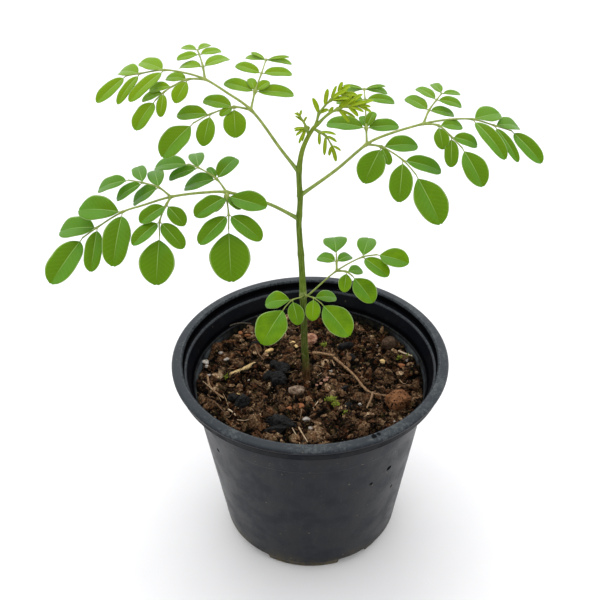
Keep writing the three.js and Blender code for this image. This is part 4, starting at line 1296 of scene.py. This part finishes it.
# %% [markdown]
# ## Twigs and straw
# A twig is a bar with a knobbly radius and a straw is a smooth one. Both follow the routes of their solids,
# and a noise of a millimetre gives them their bark and fibres.

# %% Twigs
def wood_look(name, dark, pale):
    look = Look(name, roughness=0.75)
    streak = look.noise(0.8, 4)
    look.colour = look.mix(streak.between(0.3, 0.7), dark, pale)
    return look.wear(normal=look.relief(streak, 0.2))


WOODS = {"twig": wood_look("twig_bark", (92, 64, 40), (166, 130, 92)),
         "straw": wood_look("golden_straw", (140, 108, 62), (222, 194, 140))}
for name, kind, width, points in TWIGS:
    route = smooth_route(points, step=0.7)
    if kind == "straw":
        radii = 0.68 * width
    else:
        knobs = 1 + 0.14 * lattice_noise(route, 2.5, 2)
        radii = 0.46 * width * (1 - 0.2 * np.linspace(0, 1, len(route))) * knobs
    shape, faces = bar(route + (0, 0, TWIG_LIFT), radii, sides=12)
    form = Form()
    form.add(shape + 0.1 * lattice_noise(shape, 0.8, 4)[:, None] * (1, 1, 0.6), faces)
    form.piece("fine_" + name, [WOODS[kind]], kind, name)

# %% [markdown]
# ## Small finds in the soil
# Grains of perlite, dull and half buried, a few baked orange beads, cream and pink crumbs, a few tufts of
# moss and a bent root by the wall give the soil its scale. Each kind is one small mesh of grains at their
# own places.

# %% Perlite, beads, moss and a root
# A kind of grain: its slot, its colours, and the place and size of each grain.
GRAINS = {
  "perlite_grains": ("stone", [(0.1, (88, 80, 74)), (0.45, (164, 154, 146)), (0.8, (216, 210, 202))],
                     [(-47.2, 21.1, 2.6), (-50.6, 24.2, 1.8), (-59, 17.5, 3), (-58, 14, 2), (-56.2, 6.2, 1.6),
                      (38.9, 31.6, 1.3), (11.6, 8.6, 1.7), (-2.1, -31.1, 3.2), (26.5, -20.9, 1.4),
                      (-0.3, -41, 1.8), (54.7, 17.7, 2), (-34, 1, 1), (44, -34, 1), (-10, 46, 1.2)]),
  "orange_beads": ("clay", [(0.1, (104, 60, 38)), (0.8, (176, 118, 80))],
                   [(-5.7, -20, 3.4), (-11.6, -22.3, 2.6), (51.4, 12.2, 2.8), (-36, 42, 2.6), (-40, 43, 2)]),
  "cream_crumbs": ("stone", [(0.1, (150, 116, 70)), (0.5, (214, 180, 122)), (0.8, (242, 216, 164))],
                   [(-22.2, 28.2, 3), (-24, 27.6, 2.4), (-9.9, 32.9, 3), (-7.6, 31.2, 2.4), (41.1, 13.8, 2.6),
                    (-39.1, -10.5, 1.6), (-37.4, -10.6, 1.4)]),
  "pink_crumbs": ("clod", [(0.1, (120, 74, 60)), (0.8, (206, 160, 138))],
                  [(8.6, -0.5, 2.2), (6.2, -1.7, 1.8), (9.4, 2, 1.6), (3.6, -2.4, 1.4), (14, -16, 1.2)]),
}
MOSS = [(11, -16, 2.6, 150), (13.5, -19, 1.8, 70), (8.5, 31.5, 1.7, 40), (51, 18, 2.2, 40), (56, 21, 1.4, 20),
        (-47, 4, 2.2, 14), (18, -28, 1.6, 12)]
ROOT_ROUTE = [(-53, 34, 99), (-52, 39, 101.5), (-48, 44, 103), (-41, 48, 103), (-34, 50, 101)]

for name, (slot, stops, grains) in GRAINS.items():
    form = Form()
    for x, y, size in grains:
        points = broken(CHIP_BALL[0], random_lump, 9, 0.45)
        shape = points * (1 + 0.2 * lattice_noise(points * 4 + x, 2.5, 6))[:, None] * size / 2
        form.add(shape * (1.4, 1, 0.9) + (x, y, settle(x, y) + 0.05 * size), CHIP_BALL[1])
    form.piece(name, [lump_look(name, stops, 1.5, 0.8, 0.2)], slot)


def build_moss():
    form, random = Form(), np.random.default_rng(11)
    for mx, my, wide, count in MOSS:
        for _ in range(count):
            x, y = mx + random.normal(0, 0.42 * wide), my + random.normal(0, 0.3 * wide)
            foot = np.array([x, y, settle(x, y) - 0.1])
            lean = random.normal(0, 0.6, 2)
            tip = foot + (lean[0], lean[1], random.uniform(0.3, 1.5))
            route = smooth_route([foot, (foot + tip) / 2 + (0, 0, 0.3), tip], step=0.6)
            form.add(*bar(route, np.linspace(0.42, 0.2, len(route)), sides=5), tone=random.uniform())
    look = Look("moss", roughness=0.6, specular_ior_level=0.2)
    look.colour = look.mix(look.value("tone"), (58, 70, 10), (150, 160, 56))
    form.piece("moss_sprig", [look.wear()], "leaf")


build_moss()
root = Form()
root.add(*bar(smooth_route(ROOT_ROUTE, 0.8), 0.36, sides=8))
root.piece("bent_root", [wood_look("grey_root", (50, 44, 38), (92, 82, 70))], "twig")
